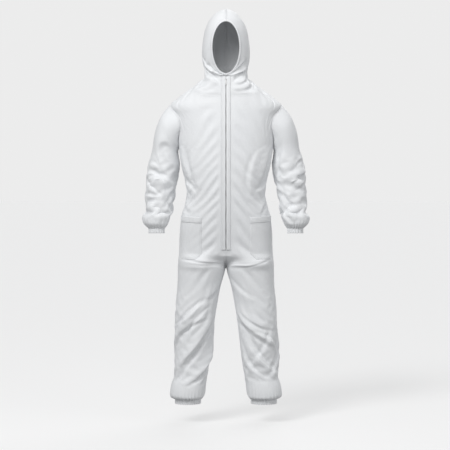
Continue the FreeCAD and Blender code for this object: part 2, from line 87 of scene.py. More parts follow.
def make_camera():
    data = bpy.data.cameras.new("camera")
    camera = bpy.data.objects.new("camera", data)
    bpy.context.scene.collection.objects.link(camera)
    aim = AIM_HEIGHT - NECK_BASE
    camera.location = (CAMERA_SIDE, -CAMERA_DISTANCE, aim + CAMERA_RISE)
    look(camera, (CAMERA_SIDE, 0, aim))
    data.sensor_width = SENSOR
    data.lens = SENSOR * CAMERA_DISTANCE / VIEW_WIDTH
    bpy.context.scene.camera = camera


def add_light(name, kind, place, power, target=(0, 0, 0)):
    """Adds a light that shines from a place at a target. Returns its settings."""
    data = bpy.data.lights.new(name, kind)
    data.energy = power
    light = bpy.data.objects.new(name, data)
    bpy.context.scene.collection.objects.link(light)
    light.location = place
    look(light, target)
    return data


def grey(value):
    return (value, value, value, 1)


def make_studio():
    """Soft light from the front and the left, on a floor and a backdrop of one pale grey."""
    bpy.context.scene.view_settings.view_transform = "Standard"
    world = bpy.data.worlds.new("studio")
    world.use_nodes = True
    tree = world.node_tree
    shown = tree.nodes["Background"]
    shown.inputs["Color"].default_value = grey(BACKDROP)
    lit = tree.nodes.new("ShaderNodeBackground")
    lit.inputs["Color"].default_value = (0.98, 0.99, 1, 1)
    lit.inputs["Strength"].default_value = AMBIENT
    path, mix = tree.nodes.new("ShaderNodeLightPath"), tree.nodes.new("ShaderNodeMixShader")
    tree.links.new(path.outputs["Is Camera Ray"], mix.inputs["Fac"])
    tree.links.new(lit.outputs[0], mix.inputs[1])
    tree.links.new(shown.outputs[0], mix.inputs[2])
    tree.links.new(mix.outputs[0], tree.nodes["World Output"].inputs["Surface"])
    bpy.context.scene.world = world
    for name, (place, power, width) in SUNS.items():
        add_light(name, "SUN", place, power).angle = math.radians(width)
    add_light("front", "AREA", LAMP_PLACE, LAMP_POWER, CHEST).size = LAMP_SIZE
    floor = bpy.data.meshes.new("floor")
    corners = ((-1, -1), (1, -1), (1, 1), (-1, 1))
    floor.from_pydata([(x * FLOOR_HALF, y * FLOOR_HALF, -NECK_BASE) for x, y in corners],
                      [], [(0, 1, 2, 3)])
    stage = bpy.data.objects.new("floor", floor)
    bpy.context.scene.collection.objects.link(stage)
    paint = bpy.data.materials.new("floor")
    paint.use_nodes = True
    tree = paint.node_tree
    tree.nodes.remove(tree.nodes["Principled BSDF"])
    seen, glow, bounce = [tree.nodes.new("ShaderNode" + kind)
                          for kind in ("BsdfDiffuse", "Emission", "BsdfDiffuse")]
    seen.inputs["Color"].default_value = grey(FLOOR_GREY)
    glow.inputs["Color"].default_value = grey(BACKDROP)
    glow.inputs["Strength"].default_value = FLOOR_GLOW
    bounce.inputs["Color"].default_value = grey(BOUNCE_GREY)
    shown, mix = tree.nodes.new("ShaderNodeAddShader"), tree.nodes.new("ShaderNodeMixShader")
    path = tree.nodes.new("ShaderNodeLightPath")
    tree.links.new(seen.outputs[0], shown.inputs[0])
    tree.links.new(glow.outputs[0], shown.inputs[1])
    tree.links.new(path.outputs["Is Camera Ray"], mix.inputs["Fac"])
    tree.links.new(bounce.outputs[0], mix.inputs[1])
    tree.links.new(shown.outputs[0], mix.inputs[2])
    tree.links.new(mix.outputs[0], tree.nodes["Material Output"].inputs["Surface"])
    floor.materials.append(paint)


# ---- the worn shape, before the cloth hangs ----------------------------------------------------
# trunk and hood: height, half width, front, back, squareness
TRUNK = np.array([
    (0.60, 0.205, -0.100, 0.108, 2.8),
    (0.690, 0.205, -0.104, 0.108, 2.7),
    (0.760, 0.201, -0.106, 0.118, 2.6),
    (0.840, 0.198, -0.119, 0.126, 2.5),
    (0.910, 0.189, -0.129, 0.116, 2.4),
    (0.985, 0.167, -0.136, 0.098, 2.3),
    (1.040, 0.171, -0.139, 0.098, 2.3),
    (1.120, 0.190, -0.140, 0.108, 2.3),
    (1.220, 0.204, -0.135, 0.116, 2.3),
    (1.300, 0.213, -0.126, 0.112, 2.3),
    (1.350, 0.226, -0.117, 0.103, 2.3),
    (1.378, 0.238, -0.112, 0.098, 2.3),
    (1.398, 0.214, -0.107, 0.095, 2.3),
    (1.430, 0.174, -0.101, 0.090, 2.3),
    (1.465, 0.122, -0.094, 0.086, 2.3),
    (1.490, 0.098, -0.089, 0.084, 2.3),
    (1.520, 0.091, -0.094, 0.086, 2.3),
    (1.570, 0.101, -0.104, 0.102, 2.4),
    (1.650, 0.098, -0.114, 0.122, 2.3),
    (1.700, 0.087, -0.107, 0.114, 2.2),
    (1.740, 0.066, -0.086, 0.094, 2.1),
    (1.765, 0.042, -0.053, 0.066, 2.0),
    (1.777, 0.022, -0.022, 0.041, 2.0),
    (1.783, 0.004, 0.006, 0.018, 2.0),
])
# leg: height, centre x, centre y, half width, half depth
LEG = np.array([
    (0.106, 0.164, 0.012, 0.0555, 0.0555),
    (0.113, 0.164, 0.012, 0.062, 0.062),
    (0.124, 0.166, 0.011, 0.072, 0.071),
    (0.145, 0.166, 0.010, 0.076, 0.075),
    (0.200, 0.155, 0.014, 0.073, 0.074),
    (0.292, 0.145, 0.014, 0.077, 0.076),
    (0.400, 0.138, 0.008, 0.082, 0.080),
    (0.480, 0.132, 0.005, 0.086, 0.086),
    (0.545, 0.124, 0.008, 0.090, 0.092),
    (0.600, 0.115, 0.008, 0.094, 0.096),
    (0.664, 0.105, 0.006, 0.102, 0.102),
    (0.740, 0.103, 0.005, 0.103, 0.105),
])
# sleeve from the armhole to the wrist: centre x, centre y, height, half width, half depth, and
# the lean of the ring from level in degrees
SLEEVE = np.array([
    (0.221, 0.000, 1.304, 0.083, 0.066, 75),
    (0.236, 0.000, 1.281, 0.074, 0.069, 60),
    (0.248, 0.000, 1.248, 0.064, 0.068, 38),
    (0.259, 0.001, 1.197, 0.055, 0.062, 8),
    (0.267, 0.003, 1.120, 0.067, 0.066, 0),
    (0.275, 0.000, 1.060, 0.065, 0.064, 0),
    (0.283, -0.012, 1.006, 0.061, 0.060, 0),
    (0.293, -0.026, 0.920, 0.056, 0.056, 0),
    (0.300, -0.036, 0.872, 0.055, 0.054, 0),
    (0.299, -0.039, 0.858, 0.048, 0.048, 0),
    (0.297, -0.040, 0.850, 0.039, 0.039, 0),
    (0.296, -0.040, 0.844, 0.0335, 0.0335, 0),
])
FACE_HEIGHT, FACE_HALF_WIDTH, FACE_HALF_HEIGHT = 1.609, 0.061, 0.113
CROTCH, RISE_TOP = 0.674, 0.745
ARMPIT, SHOULDER = 1.215, 1.383
NECK_FRONT, NECK_SIDE, NECK_BACK = 1.410, 1.481, 1.502
ZIP_BOTTOM, ZIP_TOP = 0.755, 1.487
WAIST = 0.998
ZIP_GAP = 0.004

# the cloth's grid
PANEL = 30                # columns of each trunk panel
NECK_COLUMNS = 14         # of them, those that end at the neckline
LEG_ROWS = 104
ARM_ROWS = 17
SLEEVE_ROWS = 48
HOOD_ROWS = 34


def smooth(places, values, at):
    """Values at new places, on a smooth curve through the given ones."""
    places, values, at = np.asarray(places), np.asarray(values), np.asarray(at, float)
    rate = np.gradient(values, places)
    at = np.clip(at, places[0], places[-1])
    i = np.clip(np.searchsorted(places, at) - 1, 0, len(places) - 2)
    step = places[i + 1] - places[i]
    t = (at - places[i]) / step
    a = (2 * t ** 3 - 3 * t ** 2 + 1) * values[i] + (t ** 3 - 2 * t ** 2 + t) * step * rate[i]
    return a + (3 * t ** 2 - 2 * t ** 3) * values[i + 1] + (t ** 3 - t ** 2) * step * rate[i + 1]


def ease_step(t):
    t = np.clip(t, 0, 1)
    return t * t * (3 - 2 * t)


def section(height):
    """Half width, middle, half depth and squareness of the trunk and hood at a height."""
    half, front, back, n = [smooth(TRUNK[:, 0], TRUNK[:, c], height) for c in (1, 2, 3, 4)]
    return half, (front + back) / 2, (back - front) / 2, n


def on_trunk(turn, height):
    """Points of the trunk at a turn from -90 (middle of the front) to 90 (middle of the back)."""
    half, middle, deep, n = section(height)
    c, s = np.cos(np.radians(turn)), np.sin(np.radians(turn))
    x = half * np.abs(c) ** (2 / n)
    y = middle + deep * np.sign(s) * np.abs(s) ** (2 / n)
    return np.stack([x, y, np.broadcast_to(height, x.shape)], -1)


def on_leg(around, height):
    """Points of a leg. Around runs from 0 at the inseam by the front to 1 at the inseam again."""
    cx, cy, half, deep = [smooth(LEG[:, 0], LEG[:, c], height) for c in (1, 2, 3, 4)]
    turn = np.radians(-180 + 360 * around)
    c, s = np.cos(turn), np.sin(turn)
    square = 2 / 2.2
    x = cx + half * np.sign(c) * np.abs(c) ** square
    y = cy + deep * np.sign(s) * np.abs(s) ** square
    return np.stack([x, y, np.broadcast_to(height, x.shape)], -1)


def on_sleeve(around, share):
    """Points of a sleeve. Around runs from 0 at the armpit by the front and the top; share runs
    from 0 at the armhole to 1 at the wrist."""
    steps = np.linalg.norm(np.diff(SLEEVE[:, :3], axis=0), axis=1)
    length = np.concatenate([[0], np.cumsum(steps)])
    place = share * length[-1]
    cx, cy, height, half, deep, lean = [smooth(length, SLEEVE[:, c], place) for c in range(6)]
    turn, lean = np.radians(-180 + 360 * around), np.radians(lean)
    across, depth = half * np.cos(turn), deep * np.sin(turn)
    return np.stack([cx + across * np.cos(lean), cy + depth, height + across * np.sin(lean)], -1)


def coons(left, right, bottom, top):
    """A grid of points between four edges. Left and right run upwards, bottom and top to the
    right, and they share their corners."""
    v = np.linspace(0, 1, len(left))[:, None, None]
    u = np.linspace(0, 1, len(bottom))[None, :, None]
    sides = (1 - u) * left[:, None] + u * right[:, None]
    ends = (1 - v) * bottom[None] + v * top[None]
    corners = ((1 - u) * (1 - v) * bottom[0] + u * (1 - v) * bottom[-1]
               + (1 - u) * v * top[0] + u * v * top[-1])
    return sides + ends - corners


def spread(points, count):
    """A line's points set at equal distances along it."""
    points = np.asarray(points, float)
    length = np.concatenate([[0], np.cumsum(np.linalg.norm(np.diff(points, axis=0), axis=1))])
    want = np.linspace(0, length[-1], count)
    return np.stack([np.interp(want, length, points[:, c]) for c in range(points.shape[1])], -1)


def lower_half():
    """Trunk and leg of one side, from the ankle to the armpit: rows by columns."""
    around = np.linspace(0, 1, 2 * PANEL + 1)[None, :]
    heights = np.concatenate([
        np.linspace(0.106, 0.145, 5)[:-1],
        np.linspace(0.145, ARMPIT, LEG_ROWS - 4)])[:, None]
    trunk = on_trunk(-90 + 180 * around, heights)
    leg = on_leg(around, heights)
    part = ease_step((RISE_TOP - heights) / (RISE_TOP - CROTCH))[..., None]
    grid = (1 - part) * trunk + part * leg
    grid[..., 1] *= 1 + 0.66 * (part * (1 - part))[..., 0]      # the seat keeps its depth
    seam = (heights[:, 0] > CROTCH)
    grid[seam, 0, 0] = 0
    grid[seam, -1, 0] = 0
    return grid


def armhole(back):
    """The armhole's edge on the trunk, from the armpit to the shoulder, as turns and heights."""
    t = np.linspace(0, 1, ARM_ROWS + 1)
    height = ARMPIT + (SHOULDER - ARMPIT) * t
    reach = 0.060 * np.sin(np.pi * t) ** 0.75
    _, _, deep, n = section(height)
    turn = np.degrees(np.arcsin(np.clip(reach / deep, 0, 1) ** (n / 2)))
    return np.stack([turn if back else -turn, height], -1)


def upper_panel(back):
    """The part of a trunk panel beside the armhole, up to the neckline and the shoulder seam. The
    columns run from the middle of the front to the armhole, or at the back the other way."""
    end = 90 if back else -90
    middle_top = NECK_BACK if back else NECK_FRONT
    middle = np.stack([np.full(ARM_ROWS + 1, end),
                       np.linspace(ARMPIT, middle_top, ARM_ROWS + 1)], -1)
    bottom = np.stack([np.linspace(end, 0, PANEL + 1), np.full(PANEL + 1, ARMPIT)], -1)
    t = np.linspace(0, 1, NECK_COLUMNS + 1)
    bend = 1 - np.cos(t * math.pi / 2) if not back else t ** 1.5
    neck = np.stack([end * (1 - t), middle_top + (NECK_SIDE - middle_top) * bend], -1)
    t = np.linspace(0, 1, PANEL - NECK_COLUMNS + 1)[1:]
    line = np.stack([np.zeros_like(t), NECK_SIDE + (SHOULDER - NECK_SIDE) * t], -1)
    grid = coons(middle, armhole(back), bottom, np.concatenate([neck, line]))
    points = on_trunk(grid[..., 0], grid[..., 1])
    return points[:, ::-1] if back else points


def hood_half(neckline):
    """One half of the hood, from its neckline up to the seam over the crown. The columns run
    from the zip and the face opening to the middle of the back."""
    columns = len(neckline)
    zip_part = on_trunk(np.full(12, -90.0), np.linspace(NECK_FRONT, 1.4945, 12))
    turn = np.radians(np.linspace(-90, 90, 80))[1:]
    x = FACE_HALF_WIDTH * np.cos(turn)
    height = FACE_HEIGHT + FACE_HALF_HEIGHT * np.sin(turn)
    half, middle, deep, n = section(height)
    y = middle - deep * (1 - np.clip(x / half, 0, 1) ** n) ** (1 / n)
    edge = spread(np.concatenate([zip_part, np.stack([x, y, height], -1)]), HOOD_ROWS + 1)
    back = on_trunk(np.full(60, 90.0), np.linspace(neckline[-1][2], 1.762, 60))
    crown_front = on_trunk(np.full(30, -90.0), np.linspace(edge[-1][2], 1.783, 30))
    crown_back = on_trunk(np.full(30, 90.0), np.linspace(1.783, 1.762, 30))
    crown = spread(np.concatenate([crown_front, crown_back]), columns)
    edge[-1] = crown[0]
    grid = coons(edge, spread(back, HOOD_ROWS + 1), neckline, crown)
    inner = grid[1:-1, 1:-1]
    grid[1:-1, 1:-1] = onto_hood(inner)
    return grid


def onto_hood(points):
    """Moves points out from the middle of the hood to its surface."""
    centre = points.copy()
    centre[..., 0] = 0
    centre[..., 1] = 0.004
    centre[..., 2] = np.minimum(points[..., 2], 1.640)
    ray = points - centre
    low, high = np.full(points.shape[:-1], 0.3), np.full(points.shape[:-1], 3.0)
    for _ in range(30):
        middle = (low + high) / 2
        place = centre + ray * middle[..., None]
        half, c, deep, n = section(place[..., 2])
        outside = (np.abs(place[..., 0]) / half) ** n + (np.abs(place[..., 1] - c) / deep) ** n > 1
        outside |= place[..., 2] > 1.783
        high = np.where(outside, middle, high)
        low = np.where(outside, low, middle)
    return centre + ray * low[..., None]


# ---- sewing: one list of points, shared along the seams ----------------------------------------
class Garment:
    """The sewn suit: points, and for each side the grids of point numbers."""

    def __init__(self):
        self.points = []
        self.grids = {}

    def add(self, block, shared):
        """Adds a block of points. Where shared gives a number, that point is used instead."""
        fresh = shared < 0
        numbers = shared.copy()
        numbers[fresh] = len(self.points) + np.arange(fresh.sum())
        self.points.extend(block[fresh])
        return numbers


def sew():
    suit = Garment()
    lower = lower_half()
    front, back = upper_panel(False), upper_panel(True)
    lower[lower[:, 0, 2] > ZIP_BOTTOM, 0, 0] = ZIP_GAP
    front[:, 0, 0] = ZIP_GAP
    twin = None
    for label, side in SIDES:
        flip = np.array([side, 1, 1])
        rows, columns = lower.shape[:2]
        seam = lower[:, 0, 2] > CROTCH
        zipped = lower[:, 0, 2] > ZIP_BOTTOM
        shared = np.full((rows, columns), -1)
        if twin:
            shared[seam, -1] = twin["lower"][seam, -1]
            shared[seam & ~zipped, 0] = twin["lower"][seam & ~zipped, 0]
        low = suit.add(lower * flip, shared)
        low[~seam, -1] = low[~seam, 0]
        shared = np.full(front.shape[:2], -1)
        shared[0] = low[-1, :PANEL + 1]
        chest = suit.add(front * flip, shared)
        shared = np.full(back.shape[:2], -1)
        shared[0] = low[-1, PANEL:]
        line = PANEL - NECK_COLUMNS
        shared[-1, :line + 1] = chest[-1, ::-1][:line + 1]
        if twin:
            shared[:, -1] = twin["back"][:, -1]
        rear = suit.add(back * flip, shared)

        ring = np.concatenate([chest[:, -1], rear[-2::-1, 0]])
        around = np.linspace(0, 1, len(ring))[None, :]
        share = np.linspace(0, 1, SLEEVE_ROWS + 1)[:, None]
        tube = on_sleeve(around, share)
        edge = np.array([suit.points[k] for k in ring]) * flip
        join = ease_step(1 - share / 0.09)[..., None]
        tube = tube * (1 - join) + join * (edge[None] + (tube - tube[:1]))
        shared = np.full(tube.shape[:2], -1)
        shared[0] = ring
        sleeve = suit.add(tube * flip, shared)
        sleeve[:, -1] = sleeve[:, 0]

        neck = np.concatenate([chest[-1, :NECK_COLUMNS + 1], rear[-1, line + 1:]])
        shape = hood_half(np.array([suit.points[k] for k in neck]) * flip)
        shape[shape[:, 0, 2] < ZIP_TOP, 0, 0] = ZIP_GAP
        shared = np.full(shape.shape[:2], -1)
        shared[0] = neck
        if twin:
            shared[-1] = twin["hood"][-1]
            shared[:, -1] = twin["hood"][:, -1]
        hood = suit.add(shape * flip, shared)
        twin = {"lower": low, "chest": chest, "back": rear, "sleeve": sleeve, "hood": hood}
        suit.grids[label] = twin
    suit.points = np.array(suit.points)
    return suit


# ---- how much looser than the worn shape the cloth is cut, and the first folds ------------------
def near(value, middle, reach):
    """1 at the middle, falling smoothly to 0 at the reach."""
    return ease_step(1 - np.abs(value - middle) / reach)


def grid_ease(kind, place):
    """Spare cloth along a row and along a column, as shares, for each point of a grid."""
    y, h = place[..., 1], place[..., 2]
    if kind == "sleeve":
        around = 0.02 + 0.16 * near(h, 0.868, 0.060) + 0.03 * near(h, 1.08, 0.12)
        down = 0.008 + 0.050 * near(h, 0.90, 0.13) + 0.025 * near(h, 1.075, 0.14)
    elif kind == "lower":
        around = 0.010 + 0.06 * near(h, 0.120, 0.05) + 0.02 * near(h, 0.47, 0.16)
        waist = near(h, WAIST, 0.10) * (0.12 + 0.88 * ease_step((y + 0.08) / 0.10))
        around = around + 0.12 * waist
        down = 0.003 + 0.020 * near(h, 0.20, 0.13) + 0.016 * near(h, 0.45, 0.15)
        down = down + 0.020 * near(h, 1.02, 0.14)
    elif kind == "hood":
        around = 0.025 + 0.04 * near(h, 1.47, 0.07)
        down = 0.02 + 0.06 * near(h, 1.50, 0.09)
    else:
        around = np.full_like(h, 0.012)
        down = np.full_like(h, 0.012)
    return around, down


# folds pressed in before the cloth hangs: grid, side, two ends given as shares of the grid's
# columns and rows, width and depth in metres
FOLDS = [
    # wearer's right lower leg: long folds from the inner knee to the outer ankle
    ("lower", "right", (0.08, 0.34), (0.42, 0.10), 0.034, 0.016),
    ("lower", "right", (0.16, 0.40), (0.46, 0.22), 0.028, 0.011),
    ("lower", "right", (0.04, 0.26), (0.30, 0.07), 0.026, 0.010),
    ("lower", "right", (0.90, 0.36), (0.60, 0.12), 0.030, 0.012),
    # wearer's left lower leg
    ("lower", "left", (0.06, 0.36), (0.40, 0.22), 0.030, 0.013),
    ("lower", "left", (0.12, 0.27), (0.44, 0.10), 0.030, 0.013),
    ("lower", "left", (0.46, 0.30), (0.30, 0.09), 0.030, 0.010),
    ("lower", "left", (0.88, 0.34), (0.62, 0.14), 0.030, 0.012),
    # from the crotch to the hips
    ("lower", "right", (0.02, 0.530), (0.36, 0.575), 0.026, 0.004),
    ("lower", "right", (0.03, 0.505), (0.40, 0.520), 0.024, 0.003),
    ("lower", "left", (0.02, 0.530), (0.36, 0.578), 0.026, 0.004),
    ("lower", "left", (0.03, 0.500), (0.42, 0.510), 0.024, 0.003),
    ("lower", "right", (0.04, 0.480), (0.22, 0.400), 0.028, 0.005),
    ("lower", "left", (0.04, 0.475), (0.24, 0.395), 0.028, 0.005),
    ("lower", "right", (0.97, 0.530), (0.66, 0.500), 0.030, 0.010),
    ("lower", "left", (0.97, 0.530), (0.66, 0.505), 0.030, 0.010),
    # chest: soft folds that start at the armholes
    ("lower", "right", (0.36, 0.99), (0.30, 0.86), 0.034, 0.009),
    ("lower", "left", (0.36, 0.99), (0.29, 0.84), 0.034, 0.009),
    ("lower", "left", (0.24, 0.98), (0.22, 0.80), 0.030, 0.006),
    ("lower", "right", (0.22, 0.97), (0.20, 0.82), 0.030, 0.006),
    # waist, towards the side seams
    ("lower", "right", (0.46, 0.845), (0.26, 0.80), 0.026, 0.006),
    ("lower", "right", (0.45, 0.770), (0.27, 0.745), 0.024, 0.005),
    ("lower", "left", (0.46, 0.850), (0.25, 0.81), 0.026, 0.006),
    ("lower", "left", (0.45, 0.775), (0.26, 0.735), 0.024, 0.005),
    # sleeves
    ("sleeve", "left", (0.10, 0.66), (0.42, 0.80), 0.026, 0.016),
    ("sleeve", "left", (0.06, 0.52), (0.40, 0.62), 0.026, 0.011),
    ("sleeve", "left", (0.52, 0.44), (0.24, 0.56), 0.024, 0.010),
    ("sleeve", "left", (0.20, 0.20), (0.30, 0.42), 0.026, 0.009),
    ("sleeve", "right", (0.08, 0.58), (0.40, 0.70), 0.026, 0.012),
    ("sleeve", "right", (0.48, 0.50), (0.18, 0.62), 0.024, 0.010),
    ("sleeve", "right", (0.12, 0.74), (0.44, 0.82), 0.024, 0.012),
    ("sleeve", "right", (0.22, 0.18), (0.28, 0.40), 0.026, 0.009),
    ("sleeve", "left", (0.90, 0.50), (0.60, 0.62), 0.028, 0.012),
    ("sleeve", "right", (0.90, 0.52), (0.60, 0.64), 0.028, 0.012),
    # hood: from the cheeks down to the zip
    ("hood", "left", (0.02, 0.16), (0.34, 0.44), 0.022, 0.010),
    ("hood", "right", (0.02, 0.15), (0.34, 0.42), 0.022, 0.010),
    ("hood", "left", (0.04, 0.07), (0.42, 0.22), 0.022, 0.008),
    ("hood", "right", (0.04, 0.08), (0.42, 0.24), 0.022, 0.008),
]


SAME_SIDE = 0.2           # cosine: a fold stays on the side of the tube that faces its way


def press_folds(suit, place, outward):
    """Moves the points of each fold in FOLDS outwards, with a shallow hollow on each side."""
    for kind, label, start, end, width, depth in FOLDS:
        grid = suit.grids[label][kind]
        rows, columns = grid.shape
        ends = [place[grid[int(round(v * (rows - 1))), int(round(u * (columns - 1)))]]
                for u, v in (start, end)]
        numbers = np.unique(grid)
        ray = ends[1] - ends[0]
        rel = place[numbers] - ends[0]
        share = np.clip(rel @ ray / (ray @ ray), 0, 1)
        away = rel - share[:, None] * ray
        gap = np.linalg.norm(away, axis=1) / width
        middle = grid[int(round((start[1] + end[1]) / 2 * (rows - 1))),
                      int(round((start[0] + end[0]) / 2 * (columns - 1)))]
        facing = (outward[numbers] * outward[middle]).sum(1) > SAME_SIDE
        shape = np.exp(-gap ** 2) - 0.55 * np.exp(-(gap - 1.7) ** 2 * 1.6)
        taper = np.sin(np.pi * np.clip(share, 0.06, 0.94)) ** 0.5
        place[numbers] += outward[numbers] * (depth * shape * taper * facing)[:, None]


# ---- the cloth simulation ----------------------------------------------------------------------
KINDS = ("lower", "chest", "back", "sleeve", "hood")
GRIDS = [(label, side, kind) for label, side in SIDES for kind in KINDS]


def quads(suit):
    """All the cloth's faces: four point numbers each, the number in GRIDS of the grid that each
    belongs to, and its corners' columns and rows."""
    faces, owners, places = [], [], []
    for number, (label, side, kind) in enumerate(GRIDS):
        grid = suit.grids[label][kind]
        rows, columns = np.mgrid[:grid.shape[0], :grid.shape[1]]
        block, spots = [], []
        for rise, along in ((0, 0), (0, 1), (1, 1), (1, 0)):
            cut = (slice(rise, grid.shape[0] - 1 + rise), slice(along, grid.shape[1] - 1 + along))
            block.append(grid[cut].ravel())
            spots.append(np.stack([columns[cut].ravel(), rows[cut].ravel()], -1))
        block, spots = np.stack(block, -1), np.stack(spots, 1)
        if (side < 0) != (kind == "sleeve"):
            block, spots = block[:, ::-1], spots[:, ::-1]
        faces.append(block)
        places.append(spots)
        owners.append(np.full(len(block), number))
    return np.concatenate(faces), np.concatenate(owners), np.concatenate(places)


def normals_of(points, faces):
    across = points[faces[:, 2]] - points[faces[:, 0]]
    other = points[faces[:, 3]] - points[faces[:, 1]]
    flat = np.cross(across, other)
    total = np.zeros_like(points)
    for corner in range(4):
        for axis in range(3):
            total[:, axis] += np.bincount(faces[:, corner], flat[:, axis], len(points))
    return total / np.maximum(np.linalg.norm(total, axis=1), 1e-12)[:, None]


def spacing(points):
    """The distances between neighbours along each row and up each column of a grid."""
    return (np.linalg.norm(points[:, 1:] - points[:, :-1], axis=2),
            np.linalg.norm(points[1:] - points[:-1], axis=2))


def links(suit, place):
    """Groups of point pairs to be kept at their lengths. No group but at a seam uses a point
    twice. Each group has point numbers, lengths and stiffness."""
    groups = {}

    def put(name, a, b, length, stiff):
        use = (a != b) & (length > 1e-6)
        groups.setdefault(name, []).append((a[use], b[use], length[use], np.full(use.sum(), stiff)))

    for label, _ in SIDES:
        for kind, grid in suit.grids[label].items():
            p = place[grid]
            around, down = grid_ease(kind, p)
            row, col = spacing(p)
            row = row * (1 + (around[:, 1:] + around[:, :-1]) / 2)
            col = col * (1 + (down[1:] + down[:-1]) / 2)
            if kind in ("lower", "sleeve"):
                cuff = 0 if kind == "lower" else -1
                row[cuff] /= 1 + around[cuff, 1:]
            slant = 1 + (around + down)[:-1, :-1] / 2
            one = np.linalg.norm(p[1:, 1:] - p[:-1, :-1], axis=2) * slant
            two = np.linalg.norm(p[1:, :-1] - p[:-1, 1:], axis=2) * slant
            for odd in (0, 1):
                put(("row", odd), grid[:, :-1][:, odd::2], grid[:, 1:][:, odd::2],
                    row[:, odd::2], THREAD)
                put(("column", odd), grid[:-1][odd::2], grid[1:][odd::2], col[odd::2], THREAD)
                put(("one", odd), grid[:-1, :-1][odd::2], grid[1:, 1:][odd::2], one[odd::2], BIAS)
                put(("two", odd), grid[:-1, 1:][odd::2], grid[1:, :-1][odd::2], two[odd::2], BIAS)
            for odd in (0, 1):
                rows = [r for r in range(grid.shape[0] - 2) if (r % 4) // 2 == odd]
                cols = [c for c in range(grid.shape[1] - 2) if (c % 4) // 2 == odd]
                span = row[:, :-1] + row[:, 1:]
                put(("bend row", odd), grid[:, cols], grid[:, [c + 2 for c in cols]],
                    span[:, cols], BEND)
                span = col[:-1] + col[1:]
                put(("bend column", odd), grid[rows], grid[[r + 2 for r in rows]], span[rows], BEND)
    return [[np.concatenate(part) for part in zip(*group)] for group in groups.values()]


# stiffness, as shares of each correction: along the threads, across them, and in bending
THREAD, BIAS, BEND = 1.0, 0.35, 0.16


class Wearer:
    """The unseen body inside, as rings that follow the worn shape but are slimmer."""

    HEIGHTS = np.linspace(0.05, 1.80, 351)

    def __init__(self):
        self.trunk = np.stack(section(self.HEIGHTS)[:3])
        self.leg = np.stack([smooth(LEG[:, 0], LEG[:, c], self.HEIGHTS) for c in (1, 2, 3, 4)])
        order = SLEEVE[::-1]
        self.arm = np.stack([smooth(order[:, 2], order[:, c], self.HEIGHTS) for c in (0, 1, 3, 4)])

    def at(self, table, height):
        share = (height - self.HEIGHTS[0]) / (self.HEIGHTS[1] - self.HEIGHTS[0])
        i = np.clip(share.astype(int), 0, len(self.HEIGHTS) - 2)
        t = share - i
        return table[:, i] * (1 - t) + table[:, i + 1] * t

    def keep_out(self, points, side, zone, slim):
        """Moves points that are inside the body to its surface, or too far out back in."""
        x = points[:, 0] * side
        trunk = self.at(self.trunk, points[:, 2])
        leg = self.at(self.leg, points[:, 2])
        arm = self.at(self.arm, points[:, 2])
        centre = np.where(zone == 0, 0, np.where(zone == 1, leg[0], arm[0]))
        middle = np.where(zone == 0, trunk[1], np.where(zone == 1, leg[1], arm[1]))
        half = np.where(zone == 0, trunk[0], np.where(zone == 1, leg[2], arm[2]))
        deep = np.where(zone == 0, trunk[2], np.where(zone == 1, leg[3], arm[3]))
        dx, dy = x - centre, points[:, 1] - middle
        ratio = np.sqrt((dx / half) ** 2 + (dy / deep) ** 2)
        want = np.clip(ratio, slim, 1.22)
        grow = np.where(zone < 3, want / np.maximum(ratio, 1e-6), 1)
        inner = np.where(zone == 1, centre - 1.03 * half, -1)
        points[:, 0] = side * np.maximum(centre + dx * grow, inner)
        points[:, 1] = middle + dy * grow


def take_hold(suit, rest):
    """For each point, its side, its zone of the body, and how firmly the wearer holds it. It also
    lowers the worn shape a little above the ankles, where the cloth rests."""
    count = len(rest)
    side, zone = np.ones(count), np.zeros(count)
    hold = np.full(count, 0.010)
    for label, sign in SIDES:
        grids = suit.grids[label]
        for kind in ("lower", "chest", "back", "sleeve", "hood"):
            numbers = np.unique(grids[kind])
            height = rest[numbers, 2]
            side[numbers] = sign
            if kind == "lower":
                zone[numbers] = np.where(height < 0.66, 1, np.where(height < 0.76, 3, 0))
                hold[numbers] = np.where(height > 0.76, 0.018, 0.010)
            elif kind == "sleeve":
                zone[numbers] = np.where(height < 1.19, 2, 3)
            elif kind == "hood":
                zone[numbers] = 3
                hold[numbers] = 0.03
            else:
                zone[numbers] = np.where(height > 1.36, 3, 0)
                hold[numbers] = 0.02
        lower, sleeve, hood = grids["lower"], grids["sleeve"], grids["hood"]
        for row in range(1, 9):
            rest[lower[row], 2] -= 0.017 * near(row, 3.5, 4.5)
        for row in range(10):
            hold[lower[row]] = np.maximum(hold[lower[row]], (1 - row / 10) ** 1.5)
        for row, firm in enumerate((1, 0.9, 0.75, 0.55, 0.35, 0.2, 0.1)):
            hold[sleeve[-1 - row]] = firm
        hold[sleeve[:3]] = 0.06
        hold[grids["chest"][-1]] = 0.25
        hold[grids["back"][-1]] = 0.25
        rise = np.linspace(0, 1, len(hood))[:, None] ** 2
        hold[hood] = np.maximum(hold[hood], 0.03 + 0.25 * rise)
        for column, firm in ((3, 0.08), (2, 0.25), (1, 0.5), (0, 0.8)):
            line = lower[:, column]
            hold[line[rest[line, 2] > ZIP_BOTTOM - 0.01]] = firm
            hold[grids["chest"][:, column]] = firm
            hold[hood[:, column]] = np.maximum(hold[hood[:, column]], firm * 0.8)
        line = lower[:, 0]
        below = (rest[line, 2] > CROTCH) & (rest[line, 2] <= ZIP_BOTTOM - 0.01)
        hold[line[below]] = 0.15
        own = np.unique(lower)
        away = np.hypot(rest[own, 0], (rest[own, 2] - CROTCH + 0.01) / 1.6)
        hold[own] = np.maximum(hold[own], 0.6 * ease_step(1 - away / 0.12) ** 2)
        waist = np.abs(rest[lower[:, PANEL], 2] - WAIST) < 0.012
        firm = 0.10 * ease_step((np.arange(2 * PANEL + 1) - 33) / 9)
        hold[lower[waist]] = np.maximum(hold[lower[waist]], firm[None])
    return side, zone, hold


